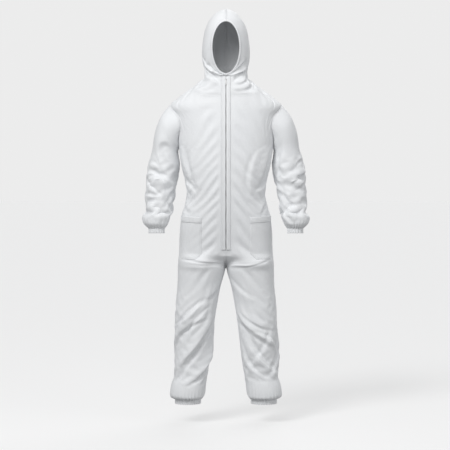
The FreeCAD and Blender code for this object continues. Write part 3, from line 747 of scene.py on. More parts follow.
def hang(suit):
    """Lets the cloth fall into its folds. Returns the points, in the same order."""
    rng = np.random.default_rng(7)
    rest = suit.points
    faces = quads(suit)[0]
    outward = normals_of(rest, faces)
    place = rest.copy()
    groups = links(suit, rest)
    side, zone, hold = take_hold(suit, rest)
    slim = np.where(zone == 0, 0.93, np.where(zone == 1, 0.80, 0.74))
    body = Wearer()
    pull = 0.5 * np.stack([hold, hold, np.maximum(hold, HOLD_UP)], -1)

    numbers = [np.unique(np.concatenate([g.ravel() for g in suit.grids[label].values()]))
               for label, _ in SIDES]
    for own in numbers:
        wave = np.zeros(len(own))
        for _ in range(START_WAVES):
            across = rng.normal(size=3)
            across /= np.linalg.norm(across)
            length = rng.uniform(0.035, 0.11)
            wave += np.cos(rest[own] @ across * 2 * math.pi / length + rng.uniform(0, 2 * math.pi))
        place[own] += outward[own] * (START_HEIGHT * wave * (hold[own] < 0.1))[:, None]
    press_folds(suit, place, outward)

    speed = np.zeros_like(place)
    for _ in range(TICKS):
        before = place.copy()
        speed[:, 2] -= WEIGHT * STEP
        place += speed * STEP * (hold < 1)[:, None]
        for _ in range(PASSES):
            for a, b, length, stiff in groups:
                gap = place[b] - place[a]
                now = np.sqrt(np.einsum("ij,ij->i", gap, gap)) + 1e-9
                move = gap * (stiff * 0.5 * (now - length) / now)[:, None]
                place[a] += move
                place[b] -= move
            place += (rest - place) * pull
        body.keep_out(place, side, zone, slim)
        speed = (place - before) / STEP * KEPT_SPEED
        fast = np.linalg.norm(speed, axis=1)
        speed *= np.minimum(1, TOP_SPEED / np.maximum(fast, 1e-9))[:, None]
    return place


TICKS = 90
STEP = 1 / 60             # seconds in each tick
PASSES = 6                # over all the lengths, in each tick
KEPT_SPEED = 0.90         # share of its speed that the cloth keeps from tick to tick
TOP_SPEED = 1.0
START_WAVES, START_HEIGHT = 26, 0.0009    # small waves that the cloth starts with
WEIGHT = 3.5              # much of the cloth's weight is carried by the wearer
HOLD_UP = 0.03            # how firmly the wearer keeps the cloth from sliding down


# ---- the fine cloth: subdivided, with its seams and gathers --------------------------------------
def lengths(suit):
    """For each grid, the cloth's length along each row and up each column, before it was worn."""
    tables = []
    for label, _, kind in GRIDS:
        p = suit.points[suit.grids[label][kind]]
        around, down = grid_ease(kind, p)
        row, col = spacing(p)
        row, col = row * (1 + around[:, 1:]), col * (1 + down[1:])
        tables.append((np.pad(np.cumsum(row, 1), ((0, 0), (1, 0))),
                       np.pad(np.cumsum(col, 0), ((1, 0), (0, 0)))))
    return tables


def read(table, row, column):
    """A table between its rows and columns."""
    r = np.clip(row.astype(int), 0, table.shape[0] - 2)
    c = np.clip(column.astype(int), 0, table.shape[1] - 2)
    v, u = row - r, column - c
    return ((table[r, c] * (1 - u) + table[r, c + 1] * u) * (1 - v)
            + (table[r + 1, c] * (1 - u) + table[r + 1, c + 1] * u) * v)


# seams and gathered lines: the grid, whether it runs along a row or a column, which one, and the
# height of the puckers, how far they reach, and their spacing, in millimetres
SEAMS = {
    "lower": [("column", 0, 0.45, 10, 12), ("column", 30, 0.45, 10, 12),
              ("column", 60, 0.45, 10, 12), ("row", 0, 2.6, 30, 13)],
    "chest": [("column", 0, 0.2, 8, 12), ("column", 30, 0.55, 14, 12), ("row", -1, 0.7, 20, 12)],
    "back": [("column", 0, 0.55, 14, 12), ("column", 30, 0.35, 8, 12), ("row", -1, 0.7, 20, 12)],
    "sleeve": [("row", 0, 0.7, 16, 12), ("row", -1, 2.6, 28, 11), ("column", 0, 0.4, 8, 12),
               ("column", -1, 0.4, 8, 12)],
    "hood": [("row", 0, 0.7, 18, 12), ("row", -1, 0.45, 8, 12), ("column", 0, 0.9, 14, 9),
             ("column", -1, 0.45, 8, 12)],
}


def ripple(place, spacing, start):
    """An uneven wave, for cloth gathered along a line."""
    turn = 2 * math.pi * place / spacing
    slow = 0.9 * np.sin(turn / 4.7 + start) + 0.8 * np.sin(turn / 11.3 + 2 * start)
    return np.sin(turn + slow) * (0.75 + 0.25 * np.sin(turn / 6.1 + 3 * start))


def creases(kind, label, tables, u, v):
    """How far the folds of one grid lift the cloth, at places given in metres on the flat cloth."""
    rows, columns = tables[0].shape
    lift = np.zeros_like(u)
    for number, (fold_kind, fold_label, start, end, width, depth) in enumerate(FOLDS):
        if (fold_kind, fold_label) != (kind, label):
            continue
        ends = [np.array([read(table, np.array(b * (rows - 1)), np.array(a * (columns - 1)))
                          for table in tables]) for a, b in (start, end)]
        way = ends[1] - ends[0]
        beside = ((0, 0, 1, 1), (0.22, 0.9, 0.75, 0.5), (-0.17, -1.1, 0.8, 0.6))
        for turn, shift, share, size in beside[:3 if depth > 0.0095 else 1]:
            c, s = math.cos(turn), math.sin(turn)
            ray = share * np.array([c * way[0] - s * way[1], s * way[0] + c * way[1]])
            length = math.hypot(*ray)
            ray /= length
            across = np.array([-ray[1], ray[0]])
            first = ends[0] + shift * width * across + (1 - share) * 0.5 * length * ray
            t = ((u - first[0]) * ray[0] + (v - first[1]) * ray[1]) / length
            bow = 0.16 * math.sin(2.4 * number + turn * 9) * length
            gap = (u - first[0]) * across[0] + (v - first[1]) * across[1]
            gap = (gap - bow * 4 * t * (1 - t)) / (width * math.sqrt(size))
            gap = gap * (1 if number % 2 else -1)
            taper = np.where((t > 0) & (t < 1), np.sin(np.pi * np.clip(t, 0, 1)) ** 0.7, 0)
            crest = np.exp(-(gap / np.where(gap > 0, 0.34, 0.85)) ** 2)
            hollow = np.exp(-((gap - 0.72) / 0.34) ** 2)
            lift += CREASE * size * depth * taper * (crest - 0.6 * hollow)
    return lift


CREASE = 0.70             # of each fold's depth, pressed in again after the cloth has hung


class FineCloth:
    """The suit's cloth, fine enough for seams and gathers."""

    def __init__(self, suit, place):
        faces, owners, places = quads(suit)
        mesh = bpy.data.meshes.new("coarse")
        mesh.from_pydata(place.tolist(), [], faces.tolist())
        for label, side, kind in GRIDS:
            mesh.materials.append(None)
        mesh.polygons.foreach_set("material_index", owners.astype(np.int32))
        mesh.uv_layers.new(name="grid")
        mesh.uv_layers["grid"].data.foreach_set("uv", places.reshape(-1).astype(np.float32))
        coarse = bpy.data.objects.new("coarse", mesh)
        bpy.context.scene.collection.objects.link(coarse)
        finer = coarse.modifiers.new("finer", "SUBSURF")
        finer.levels = finer.render_levels = LEVEL
        finer.uv_smooth = "NONE"
        finer.boundary_smooth = "PRESERVE_CORNERS"
        shown = coarse.evaluated_get(bpy.context.evaluated_depsgraph_get())
        fine = shown.to_mesh()
        self.points = np.empty(len(fine.vertices) * 3)
        fine.vertices.foreach_get("co", self.points)
        self.points = self.points.reshape(-1, 3)
        self.faces = np.empty(len(fine.loops), np.int32)
        fine.loops.foreach_get("vertex_index", self.faces)
        self.faces = self.faces.reshape(-1, 4)
        self.owner = np.empty(len(fine.polygons), np.int32)
        fine.polygons.foreach_get("material_index", self.owner)
        spots = np.empty(len(fine.loops) * 2, np.float32)
        fine.uv_layers["grid"].data.foreach_get("uv", spots)
        self.spots = spots.reshape(-1, 4, 2).astype(float)
        shown.to_mesh_clear()
        bpy.data.objects.remove(coarse)
        bpy.data.meshes.remove(mesh)
        self.sew_lines(suit)
        self.flatten_by_zip()
        self.normals = normals_of(self.points, self.faces)
        self.edges()

    def sew_lines(self, suit):
        """Presses in the seams and gathers, and works out each corner's texture places."""
        count = len(self.faces)
        self.cloth_uv, self.seam_uv = np.zeros((count, 4, 2)), np.full((count, 4, 2), 0.05)
        rise = np.zeros((count, 4))
        tables = lengths(suit)
        for number, (label, side, kind) in enumerate(GRIDS):
            mine = np.flatnonzero(self.owner == number)
            along_row, up_column = tables[number]
            column, row = self.spots[mine, :, 0], self.spots[mine, :, 1]
            u, v = read(along_row, row, column), read(up_column, row, column)
            self.cloth_uv[mine] = np.stack([u, v], -1)
            if kind in ("chest", "back"):
                below_row, below_column = tables[number - 1 - (kind == "back")]
                self.cloth_uv[mine, :, 1] += below_column[-1, PANEL if kind == "back" else 0]
                self.cloth_uv[mine, :, 0] += below_row[-1, PANEL] * (kind == "back")
            gaps, runs = [], []
            lift = creases(kind, label, tables[number], u, v)
            lines = list(SEAMS[kind])
            for way, line, height, reach, spacing in lines:
                if way == "row":
                    fixed = np.full_like(row, line % along_row.shape[0])
                    gap = np.abs(v - read(up_column, fixed, column))
                    run = read(along_row, fixed, column)
                else:
                    fixed = np.full_like(column, line % along_row.shape[1])
                    gap = np.abs(u - read(along_row, row, fixed))
                    run = read(up_column, row, fixed)
                gaps.append(gap)
                runs.append(run)
                start = 1.7 * line + 0.6 * side + len(kind)
                lift += 0.001 * height * np.exp(-gap / (0.001 * reach)) * ripple(
                    run, 0.001 * spacing, start)
                if height < 1.5:
                    lift -= 0.0007 * np.exp(-(gap / 0.0022) ** 2)
            if kind == "lower":
                waist = np.argmin(np.abs(suit.points[suit.grids[label][kind][:, PANEL], 2] - WAIST))
                gap = np.abs(v - read(up_column, np.full_like(row, waist), column))
                behind = ease_step((column - 33) / 6)
                wave = ripple(read(along_row, np.full_like(row, waist), column), 0.013, side)
                lift += behind * (0.0018 * np.exp(-gap / 0.028) * wave
                                  - 0.0030 * np.exp(-(gap / 0.014) ** 2))
            rise[mine] = lift
            gaps, runs = np.stack(gaps), np.stack(runs)
            nearest = gaps.mean(2).argmin(0)
            pick = (nearest, np.arange(len(mine)))
            self.seam_uv[mine] = np.stack([gaps[pick], runs[pick]], -1)
        flat, corner = rise.ravel(), self.faces.ravel()
        total = np.bincount(corner, flat, len(self.points))
        self.points = self.points + normals_of(self.points, self.faces) * (
            total / np.maximum(np.bincount(corner, minlength=len(self.points)), 1))[:, None]

    def flatten_by_zip(self):
        """Lays the cloth beside the zip on its arc, clear of the slider's two plates."""
        x, y, height = (self.points + np.array([0, 0, NECK_BASE])).T
        arc = 1.328 - np.sqrt(1.468 ** 2 - (height - 1.094) ** 2)
        share = ease_step((0.040 - np.abs(x)) / 0.030) * ease_step((height - 0.715) / 0.02)
        share = share * (y < 0) * (height < ZIP_TOP + 0.003)
        self.points[:, 1] += share * (np.clip(y, arc - 0.0002, arc + 0.0008) - y)

    def edges(self):
        """The faces' sides that no other face shares: the edges of the openings and the zip."""
        ends = np.stack([self.faces, np.roll(self.faces, -1, 1)], -1)
        key = np.sort(ends.reshape(-1, 2), 1)
        code = key[:, 0] * len(self.points) + key[:, 1]
        _, back, times = np.unique(code, return_inverse=True, return_counts=True)
        self.free = (times[back] == 1).reshape(-1, 4)


def make_object(name, points, faces, uvs, seams, normals=None):
    """A mesh object with its texture places."""
    mesh = bpy.data.meshes.new(name)
    mesh.from_pydata(points.tolist(), [], faces.tolist() if hasattr(faces, "tolist") else faces)
    for layer, values in (("cloth", uvs), ("seam", seams)):
        mesh.uv_layers.new(name=layer)
        mesh.uv_layers[layer].data.foreach_set("uv", np.asarray(values, np.float32).ravel())
    mesh.polygons.foreach_set("use_smooth", np.ones(len(mesh.polygons), bool))
    if normals is not None:
        mesh.normals_split_custom_set(normals.reshape(-1, 3).tolist())
    obj = bpy.data.objects.new(name, mesh)
    bpy.context.scene.collection.objects.link(obj)
    return obj


def cut_piece(name, fine, mine):
    """A piece of the cloth from some of its faces, turned in at the openings' edges."""
    used, back = np.unique(fine.faces[mine], return_inverse=True)
    faces = back.reshape(-1, 4)
    points, normals = fine.points[used], fine.normals[used]
    free = fine.free[mine]
    near_edge = np.zeros(len(points), bool)
    near_edge[faces[free.any(1)].ravel()] = True
    for _ in range(TURN_IN):
        near_edge[faces[near_edge[faces].any(1)].ravel()] = True
    lined = near_edge[faces].all(1) if free.any() else np.zeros(len(faces), bool)
    inside = faces[lined][:, ::-1] + len(points)
    rims = []
    for side in range(4):
        own = faces[free[:, side]]
        a, b = own[:, side], own[:, (side + 1) % 4]
        rims.append(np.stack([b, a, a + len(points), b + len(points)], -1))
    rims = np.concatenate(rims)
    uvs, seams = fine.cloth_uv[mine], fine.seam_uv[mine]
    edge_uv = np.full((len(rims), 4, 2), 0.05)
    all_points = np.concatenate([points, points - THICK * normals])
    across = (np.cross(all_points[rims[:, 2]] - all_points[rims[:, 0]],
                       all_points[rims[:, 3]] - all_points[rims[:, 1]]))
    across /= np.maximum(np.linalg.norm(across, axis=1), 1e-12)[:, None]
    corner_normals = np.concatenate([
        normals[faces], -normals[faces[lined][:, ::-1]], np.repeat(across[:, None], 4, 1)])
    faces = np.concatenate([faces, inside, rims])
    kept, back = np.unique(faces, return_inverse=True)
    return make_object(name, all_points[kept], back.reshape(-1, 4),
                       np.concatenate([uvs, uvs[lined][:, ::-1], edge_uv]),
                       np.concatenate([seams, seams[lined][:, ::-1], edge_uv]), corner_normals)


LEVEL = 2
THICK = 0.0008
TURN_IN = 10              # faces of lining at an edge


# ---- pieces ------------------------------------------------------------------------------------
# where the cloth turns from one body to the next: start, the way, and how far
HOOD_TURN = (Vector((0, 0, 0.124)), Vector((0, -0.18, 0.984)), 0.051)
KNEE_TURN = (Vector((0.132, 0.005, -0.854)), Vector((0, 0, -1)), 0.132)
ELBOW_TURN = (Vector((0.273, 0, -0.276)), Vector((0, 0, -1)), 0.100)
# a known fault: this turn is short and starts 0.135 m below the shoulder's pivot, so the sleeve
# of a raised arm is drawn out to a strip
SHOULDER_TURN = (Vector((0.204, 0, -0.185)), Vector((0.5, 0, -0.866)), 0.075)
HIP_TURN = (Vector((0, 0, -0.724)), Vector((0.25, 0, -0.968)), 0.105)


def turn_share(turn, points):
    """How far points are through a turn on the wearer's left: 0 at its start, 1 at its end."""
    start, way, reach = turn
    return (points - np.array(start)) @ np.array(way) / reach


def blend(obj):
    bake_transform(obj)


def name_pieces(fine):
    """For each face of the cloth, the number of its piece, and the list of the pieces."""
    middle = fine.points[fine.faces].mean(1)
    column = fine.spots[:, :, 0].mean(1)
    names, number = [], np.zeros(len(fine.faces), int)

    def put(name, where):
        number[where] = len(names)
        names.append(name)

    for owner, (label, side, kind) in enumerate(GRIDS):
        mine = fine.owner == owner
        place = middle * np.array([side, 1, 1])
        if kind == "lower":
            hip, knee = turn_share(HIP_TURN, place), turn_share(KNEE_TURN, place)
            for half, front in (("front", column < PANEL), ("back", column >= PANEL)):
                put(f"{label}_{half}_panel", (mine | chest_or_back(fine, label, half)) & (
                    front | ~mine) & ((hip < 0) | ~mine))
                put(f"{label}_thigh_{half}_panel", mine & front & (hip >= 1) & (knee < 0))
                put(f"{label}_shin_{half}_panel", mine & front & (knee >= 1))
            put(f"{label}_hip_fold", mine & (hip >= 0) & (hip < 1))
            put(f"{label}_knee_fold", mine & (knee >= 0) & (knee < 1))
        elif kind == "sleeve":
            shoulder, elbow = turn_share(SHOULDER_TURN, place), turn_share(ELBOW_TURN, place)
            put(f"{label}_sleeve_head", mine & (shoulder < 1) & (elbow < 0))
            put(f"{label}_upper_sleeve", mine & (shoulder >= 1) & (elbow < 0))
            put(f"{label}_elbow_fold", mine & (elbow >= 0) & (elbow < 1))
            put(f"{label}_forearm_sleeve", mine & (elbow >= 1))
        elif kind == "hood":
            hood = turn_share(HOOD_TURN, place)
            put(f"{label}_neck_panel", mine & (hood < 0))
            put(f"{label}_hood_fold", mine & (hood >= 0) & (hood < 1))
            put(f"{label}_hood_panel", mine & (hood >= 1))
    return number, names


def chest_or_back(fine, label, half):
    kind = "chest" if half == "front" else "back"
    return fine.owner == [g[::2] for g in GRIDS].index((label, kind))


def mount_piece(obj, name, label):
    """Puts a piece of cloth on its body; a piece at a turn between two bodies is left where it is,
    with its place baked into its points.
    """
    part = name[len(label) + 1:]
    if part in ("front_panel", "back_panel", "neck_panel"):
        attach(obj, "torso")
    elif part == "hood_panel":
        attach(obj, "hood")
    elif part == "hood_fold":
        blend(obj)
    elif part == "sleeve_head":
        blend(obj)
    elif part == "elbow_fold":
        blend(obj)
    elif part == "hip_fold":
        blend(obj)
    elif part == "knee_fold":
        blend(obj)
    else:
        body = {"upper": "upper_arm", "forearm": "forearm", "thigh": "thigh", "shin": "shin"}
        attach(obj, label + "_" + body[part.split("_")[0]])
    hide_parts(name)


def declare_panel(fine, mine):
    """Works out the area, width and length that a piece of the suit was cut to, from its flat
    cloth.
    """
    flat = fine.cloth_uv[mine]
    one, two = flat[:, 2] - flat[:, 0], flat[:, 3] - flat[:, 1]
    area = float(np.abs(one[:, 0] * two[:, 1] - one[:, 1] * two[:, 0]).sum() / 2)
    u, v = flat.reshape(-1, 2).T
    width = np.ptp(u)
    strip = np.minimum(((u - u.min()) / width * 12).astype(int), 11)
    length = max(np.ptp(v[strip == k]) for k in range(12) if (strip == k).any())
    length = max(length, area / (0.98 * width))


def round_profile(half_out, half_across, corners, square=2.0):
    """A closed profile, as places outwards and across."""
    turn = np.linspace(0, 2 * math.pi, corners, endpoint=False)
    c, s = np.cos(turn), np.sin(turn)
    return np.stack([half_out * np.sign(c) * np.abs(c) ** (2 / square),
                     half_across * np.sign(s) * np.abs(s) ** (2 / square)], -1)


NO_SEAM = 0.05            # far enough from a seam for no stitches to show


def sweep(name, path, up, profile, closed_path):
    """A solid band: a closed profile carried along a path. The profile has a row for each step."""
    steps, corners = profile.shape[:2]
    ahead = np.roll(path, -1, 0) - np.roll(path, 1, 0)
    if not closed_path:
        ahead[0], ahead[-1] = path[1] - path[0], path[-1] - path[-2]
    ahead /= np.linalg.norm(ahead, axis=1)[:, None]
    across = np.cross(ahead, up)
    across /= np.linalg.norm(across, axis=1)[:, None]
    points = path[:, None] + up[:, None] * profile[..., :1] + across[:, None] * profile[..., 1:]
    rows = steps if closed_path else steps - 1
    i, j = [k.ravel() for k in np.mgrid[:rows, :corners]]
    spots = np.stack([np.stack([i + a, j + b], -1) for a, b in ((0, 0), (0, 1), (1, 1), (1, 0))], 1)
    faces = (spots[..., 0] % steps) * corners + spots[..., 1] % corners
    along = np.concatenate([[0], np.cumsum(np.linalg.norm(np.diff(path, axis=0), axis=1))])
    along = np.append(along, 2 * along[-1] - along[-2])
    sides = np.diff(np.append(profile, profile[:, :1], 1), axis=1)
    round_it = np.linalg.norm(sides, axis=2).mean(0)
    girth = np.concatenate([[0], np.cumsum(round_it)])
    uvs = np.stack([along[spots[..., 0]], girth[spots[..., 1]]], -1)
    points = points.reshape(-1, 3)
    a, b, c, d = [points[faces[:, k]] for k in range(4)]
    volume = (np.cross(c - a, d - b) * (a + b + c + d)).sum()
    if volume < 0:
        faces, uvs = faces[:, ::-1], uvs[:, ::-1]
    seams = np.stack([np.full(uvs.shape[:2], NO_SEAM), uvs[..., 0]], -1)
    return make_object(name, points, faces, uvs, seams)


def soften(values, reach, closed=False):
    """A running mean along the first axis."""
    padded = np.concatenate([values[-reach:], values, values[:reach]] if closed else
                            [values[:1]] * reach + [values] + [values[-1:]] * reach)
    total = np.cumsum(np.concatenate([np.zeros_like(padded[:1]), padded]), 0)
    width = 2 * reach + 1
    return (total[width:] - total[:-width]) / width


def make_hem(name, centre, radius, middle, start):
    """A cuff: a folded hem gathered by the elastic inside it."""
    steps, corners = 220, 18
    turn = np.linspace(0, 2 * math.pi, steps, endpoint=False)
    out = np.stack([np.cos(turn), np.sin(turn), np.zeros(steps)], -1)
    path = np.array([centre[0], centre[1], middle]) + out * (radius + 0.0017)
    profile = np.tile(round_profile(0.0019, 0.0108, corners, 3.2), (steps, 1, 1))
    run = turn * radius
    count = round(2 * math.pi * radius / 0.0105)
    spacing = 2 * math.pi * radius / count
    wave = np.sin(run * 2 * math.pi / spacing + 0.7 * np.sin(3 * turn + start)
                  + 0.5 * np.sin(5 * turn + 2 * start))
    edge = (np.abs(profile[..., 1]) / 0.0108) ** 2
    outside = profile[..., 0] > 0
    profile[..., 0] += wave[:, None] * (0.0010 + 0.0012 * edge) * (0.25 + 0.75 * outside)
    profile[..., 1] += 0.0012 * wave[:, None] * edge
    return sweep(name, path, out, profile, True)


def even_path(points, ups, count, closed):
    """A path through the given points at even steps, with the direction outwards at each."""
    both = np.concatenate([points, ups], 1)
    both = np.concatenate([both, both[:1]]) if closed else both
    length = np.concatenate([[0], np.cumsum(np.linalg.norm(np.diff(both[:, :3], axis=0), axis=1))])
    want = np.linspace(0, length[-1], count + closed)[:count]
    path = np.stack([np.interp(want, length, both[:, k]) for k in range(6)], -1)
    path = soften(soften(path, 4, closed), 3, closed)
    ups = path[:, 3:] / np.linalg.norm(path[:, 3:], axis=1)[:, None]
    return path[:, :3], ups, want


def make_casing(suit, place, outward):
    """The gathered edge of the face opening, with its elastic inside."""
    left, right = [suit.grids[label]["hood"][:, 0] for label, _ in SIDES]
    own = suit.points[left, 2] > ZIP_TOP + 0.004
    ring = np.concatenate([left[own], right[own][::-1][1:]])
    path, up, run = even_path(place[ring], outward[ring], 300, True)
    profile = np.tile(round_profile(0.0024, 0.0046, 14, 2.4), (300, 1, 1))
    count = round(run[-1] / 0.0085)
    turn = 2 * math.pi * np.arange(300) / 300
    wave = np.sin(turn * count + 0.9 * np.sin(4 * turn + 1) + 0.6 * np.sin(7 * turn + 2))
    side = profile[..., 1] / 0.0046
    profile[..., 0] += 0.0008 * wave[:, None] * (0.4 + np.abs(side))
    profile[..., 1] += 0.0006 * wave[:, None] * side
    obj = sweep("face_casing_cloth", path, up, profile, True)
    blend(obj)
    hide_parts("face_casing", "face_elastic")
    return obj


def make_crown_seam(suit, place, outward):
    """The raised seam over the crown, from the face opening to the back of the head."""
    hood = suit.grids["left"]["hood"]
    back = hood[::-1, -1]
    line = np.concatenate([hood[-1], back[1:][suit.points[back[1:], 2] > 1.66]])
    points, up = place[line].copy(), outward[line].copy()
    points[:, 0], up[:, 0] = 0, 0
    path, up, run = even_path(points, up, 150, False)
    end = np.clip(np.minimum(run, run[-1] - run) / 0.006, 0.05, 1)[:, None, None]
    profile = np.tile(round_profile(0.0024, 0.0015, 10), (150, 1, 1)) * end
    profile[..., 0] += 0.0006
    profile[..., 1] += 0.0005 * np.sin(run / 0.0021 + 0.8 * np.sin(run / 0.009))[:, None]
    obj = sweep("hood_crown_seam_cloth", path, up, profile, False)
    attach(obj, "hood")
    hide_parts("hood_crown_seam")
    return obj


def make_waist_elastic(suit, place, outward):
    """The elastic sewn inside the back of the waist."""
    lines = []
    for label, _ in SIDES:
        grid = suit.grids[label]["lower"]
        row = np.argmin(np.abs(suit.points[grid[:, PANEL], 2] - WAIST))
        lines.append(grid[row, 36:])
    line = np.concatenate([lines[0], lines[1][::-1][1:]])
    path, up, run = even_path(place[line], outward[line], 160, False)
    end = np.clip(np.minimum(run, run[-1] - run) / 0.004, 0.05, 1)[:, None, None]
    profile = np.tile(round_profile(0.0007, 0.012, 12, 3.5), (160, 1, 1)) * end
    profile[..., 0] -= 0.0065
    obj = sweep("waist_elastic_band", path, up, profile, False)
    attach(obj, "torso")
    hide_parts("waist_elastic")
    return obj


class Front:
    """The front of the suit, to lay the zip's flap and the pockets on."""

    def __init__(self, fine):
        own = np.isin(fine.owner, [n for n, g in enumerate(GRIDS) if g[2] != "sleeve"])
        self.tree = BVHTree.FromPolygons(fine.points.tolist(), fine.faces[own].tolist())

    def at(self, x, z):
        """The surface's place and direction at x and z, given as equal grids."""
        place, out = np.zeros(x.shape + (3,)), np.zeros(x.shape + (3,))
        for spot in np.ndindex(x.shape):
            hit, across = None, x[spot]
            while hit is None:
                hit, normal, _, _ = self.tree.ray_cast(Vector((across, -1, z[spot])),
                                                       Vector((0, 1, 0)))
                across *= 0.985
            place[spot], out[spot] = hit, (normal if normal.y < 0 else -normal)
        return place, out


def make_placket(front, label, side):
    """The folded flap beside the zip, with its two rows of stitches."""
    z = np.linspace(ZIP_BOTTOM, ZIP_TOP, 184) - NECK_BASE
    x = np.array([0.006, 0.010, 0.014, 0.018, 0.0215])
    place, _ = front.at(*np.broadcast_arrays(side * x[None, :], z[:, None]))
    depth = soften(place[..., 1], 3)
    profile = 0.001 * np.array([
        (1.7, 2.6), (1.5, 2.9), (1.8, 3.2), (3.2, 3.45), (6, 3.45), (9, 3.5), (11.7, 3.6),
        (12.4, 3.3), (13.1, 3.6), (15.8, 3.6), (16.5, 3.2), (17.2, 3.4), (18.6, 2.8), (19.8, 1.7),
        (20.6, 0.6), (19.6, 0.3), (18.6, 1.7), (16.6, 2.4), (12.4, 2.6), (6, 2.65), (3, 2.65)])
    run = z - z[0]
    wave = 0.0004 * np.sin(run / 0.011 + 1.2 * np.sin(run / 0.047 + side))
    base = np.stack([np.interp(profile[:, 0], x, row) for row in depth])
    reach = profile[None, :, 0] + wave[:, None] * (profile[None, :, 0] < 0.003)
    lift = profile[None, :, 1] + 0.3 * wave[:, None] * (profile[None, :, 1] > 0.0028)
    end = np.clip(np.minimum(run, run[-1] - run)[:, None] / 0.002, 0.05, 1)
    middle = 0.0030
    points = np.stack([side * reach, base - (middle + (lift - middle) * end),
                       np.broadcast_to(z[:, None], reach.shape)], -1)
    steps, corners = reach.shape
    i, j = [k.ravel() for k in np.mgrid[:steps - 1, :corners]]
    spots = np.stack([np.stack([i + a, j + b], -1) for a, b in ((0, 0), (0, 1), (1, 1), (1, 0))], 1)
    faces = spots[..., 0] * corners + spots[..., 1] % corners
    reach_of = profile[spots[..., 1] % corners, 0]
    uvs = np.stack([reach_of, run[spots[..., 0]]], -1)
    seams = np.stack([np.abs(0.0205 - reach_of) + 0.02 * (spots[..., 1] % corners > 14),
                      run[spots[..., 0]]], -1)
    if side < 0:
        faces, uvs, seams = faces[:, ::-1], uvs[:, ::-1], seams[:, ::-1]
    obj = make_object(label + "_zip_placket_cloth", points.reshape(-1, 3), faces, uvs, seams)
    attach(obj, "torso")
    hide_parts(label + "_zip_placket")
    return obj


POCKET_X, POCKET_Z = (0.102, 0.190), (0.712, 0.892)
POCKET_CORNER = (0.028, 0.024)
POCKET_HEM = 0.025
POCKET_COLUMNS, POCKET_ROWS = 44, 88


def pocket_places():
    """Where the pocket's threads run, seen from the front, and how far from its sewn edges."""
    t = np.linspace(0, 1, POCKET_ROWS + 1)[:, None]
    s = np.linspace(0, 1, POCKET_COLUMNS + 1)[None, :]
    height = POCKET_Z[0] + (POCKET_Z[1] - POCKET_Z[0]) * t
    cut = POCKET_CORNER[0] * np.clip(1 - (height - POCKET_Z[0]) / POCKET_CORNER[1], 0, 1)
    inner = POCKET_X[0] + cut
    x = inner + (POCKET_X[1] - inner) * s
    z = height + 0.005 * s * t ** 2 - NECK_BASE
    slant = np.hypot(*POCKET_CORNER)
    corner = ((x - POCKET_X[0]) * POCKET_CORNER[1] + (height - POCKET_Z[0]) * POCKET_CORNER[0]
              - POCKET_CORNER[0] * POCKET_CORNER[1]) / slant
    edge = np.minimum.reduce([x - POCKET_X[0], POCKET_X[1] - x,
                              np.broadcast_to(height - POCKET_Z[0], x.shape), corner])
    return x, z + 0 * x, np.maximum(edge, 0), t


def shell(name, outer, inner, seams):
    """A closed piece of cloth from its outer and inner face, both grids of points."""
    rows, columns = outer.shape[:2]
    points = np.concatenate([outer.reshape(-1, 3), inner.reshape(-1, 3)])
    number = np.arange(rows * columns).reshape(rows, columns)
    block = np.stack([number[:-1, :-1], number[:-1, 1:], number[1:, 1:], number[1:, :-1]], -1)
    block = block.reshape(-1, 4)
    ring = np.concatenate([number[0, :-1], number[:-1, -1], number[-1, :0:-1], number[:0:-1, 0]])
    after = np.roll(ring, -1)
    below = rows * columns
    rim = np.stack([after, ring, ring + below, after + below], -1)
    faces = np.concatenate([block, block[:, ::-1] + below, rim])
    a, b, c, d = [points[faces[:, k]] for k in range(4)]
    flip = (np.cross(c - a, d - b) * (a + b + c + d)).sum() < 0
    faces = faces[:, ::-1] if flip else faces
    along = np.concatenate([np.zeros((1, columns)), np.cumsum(
        np.linalg.norm(np.diff(outer, axis=0), axis=2), 0)])
    across = np.concatenate([np.zeros((rows, 1)), np.cumsum(
        np.linalg.norm(np.diff(outer, axis=1), axis=2), 1)], 1)
    uv = np.tile(np.stack([across, along], -1).reshape(-1, 2), (2, 1))
    seam = np.stack([np.append(seams.ravel(), np.full(below, 0.05)),
                     np.tile((along + across).ravel(), 2)], -1)
    return make_object(name, points, faces, uv[faces], seam[faces])


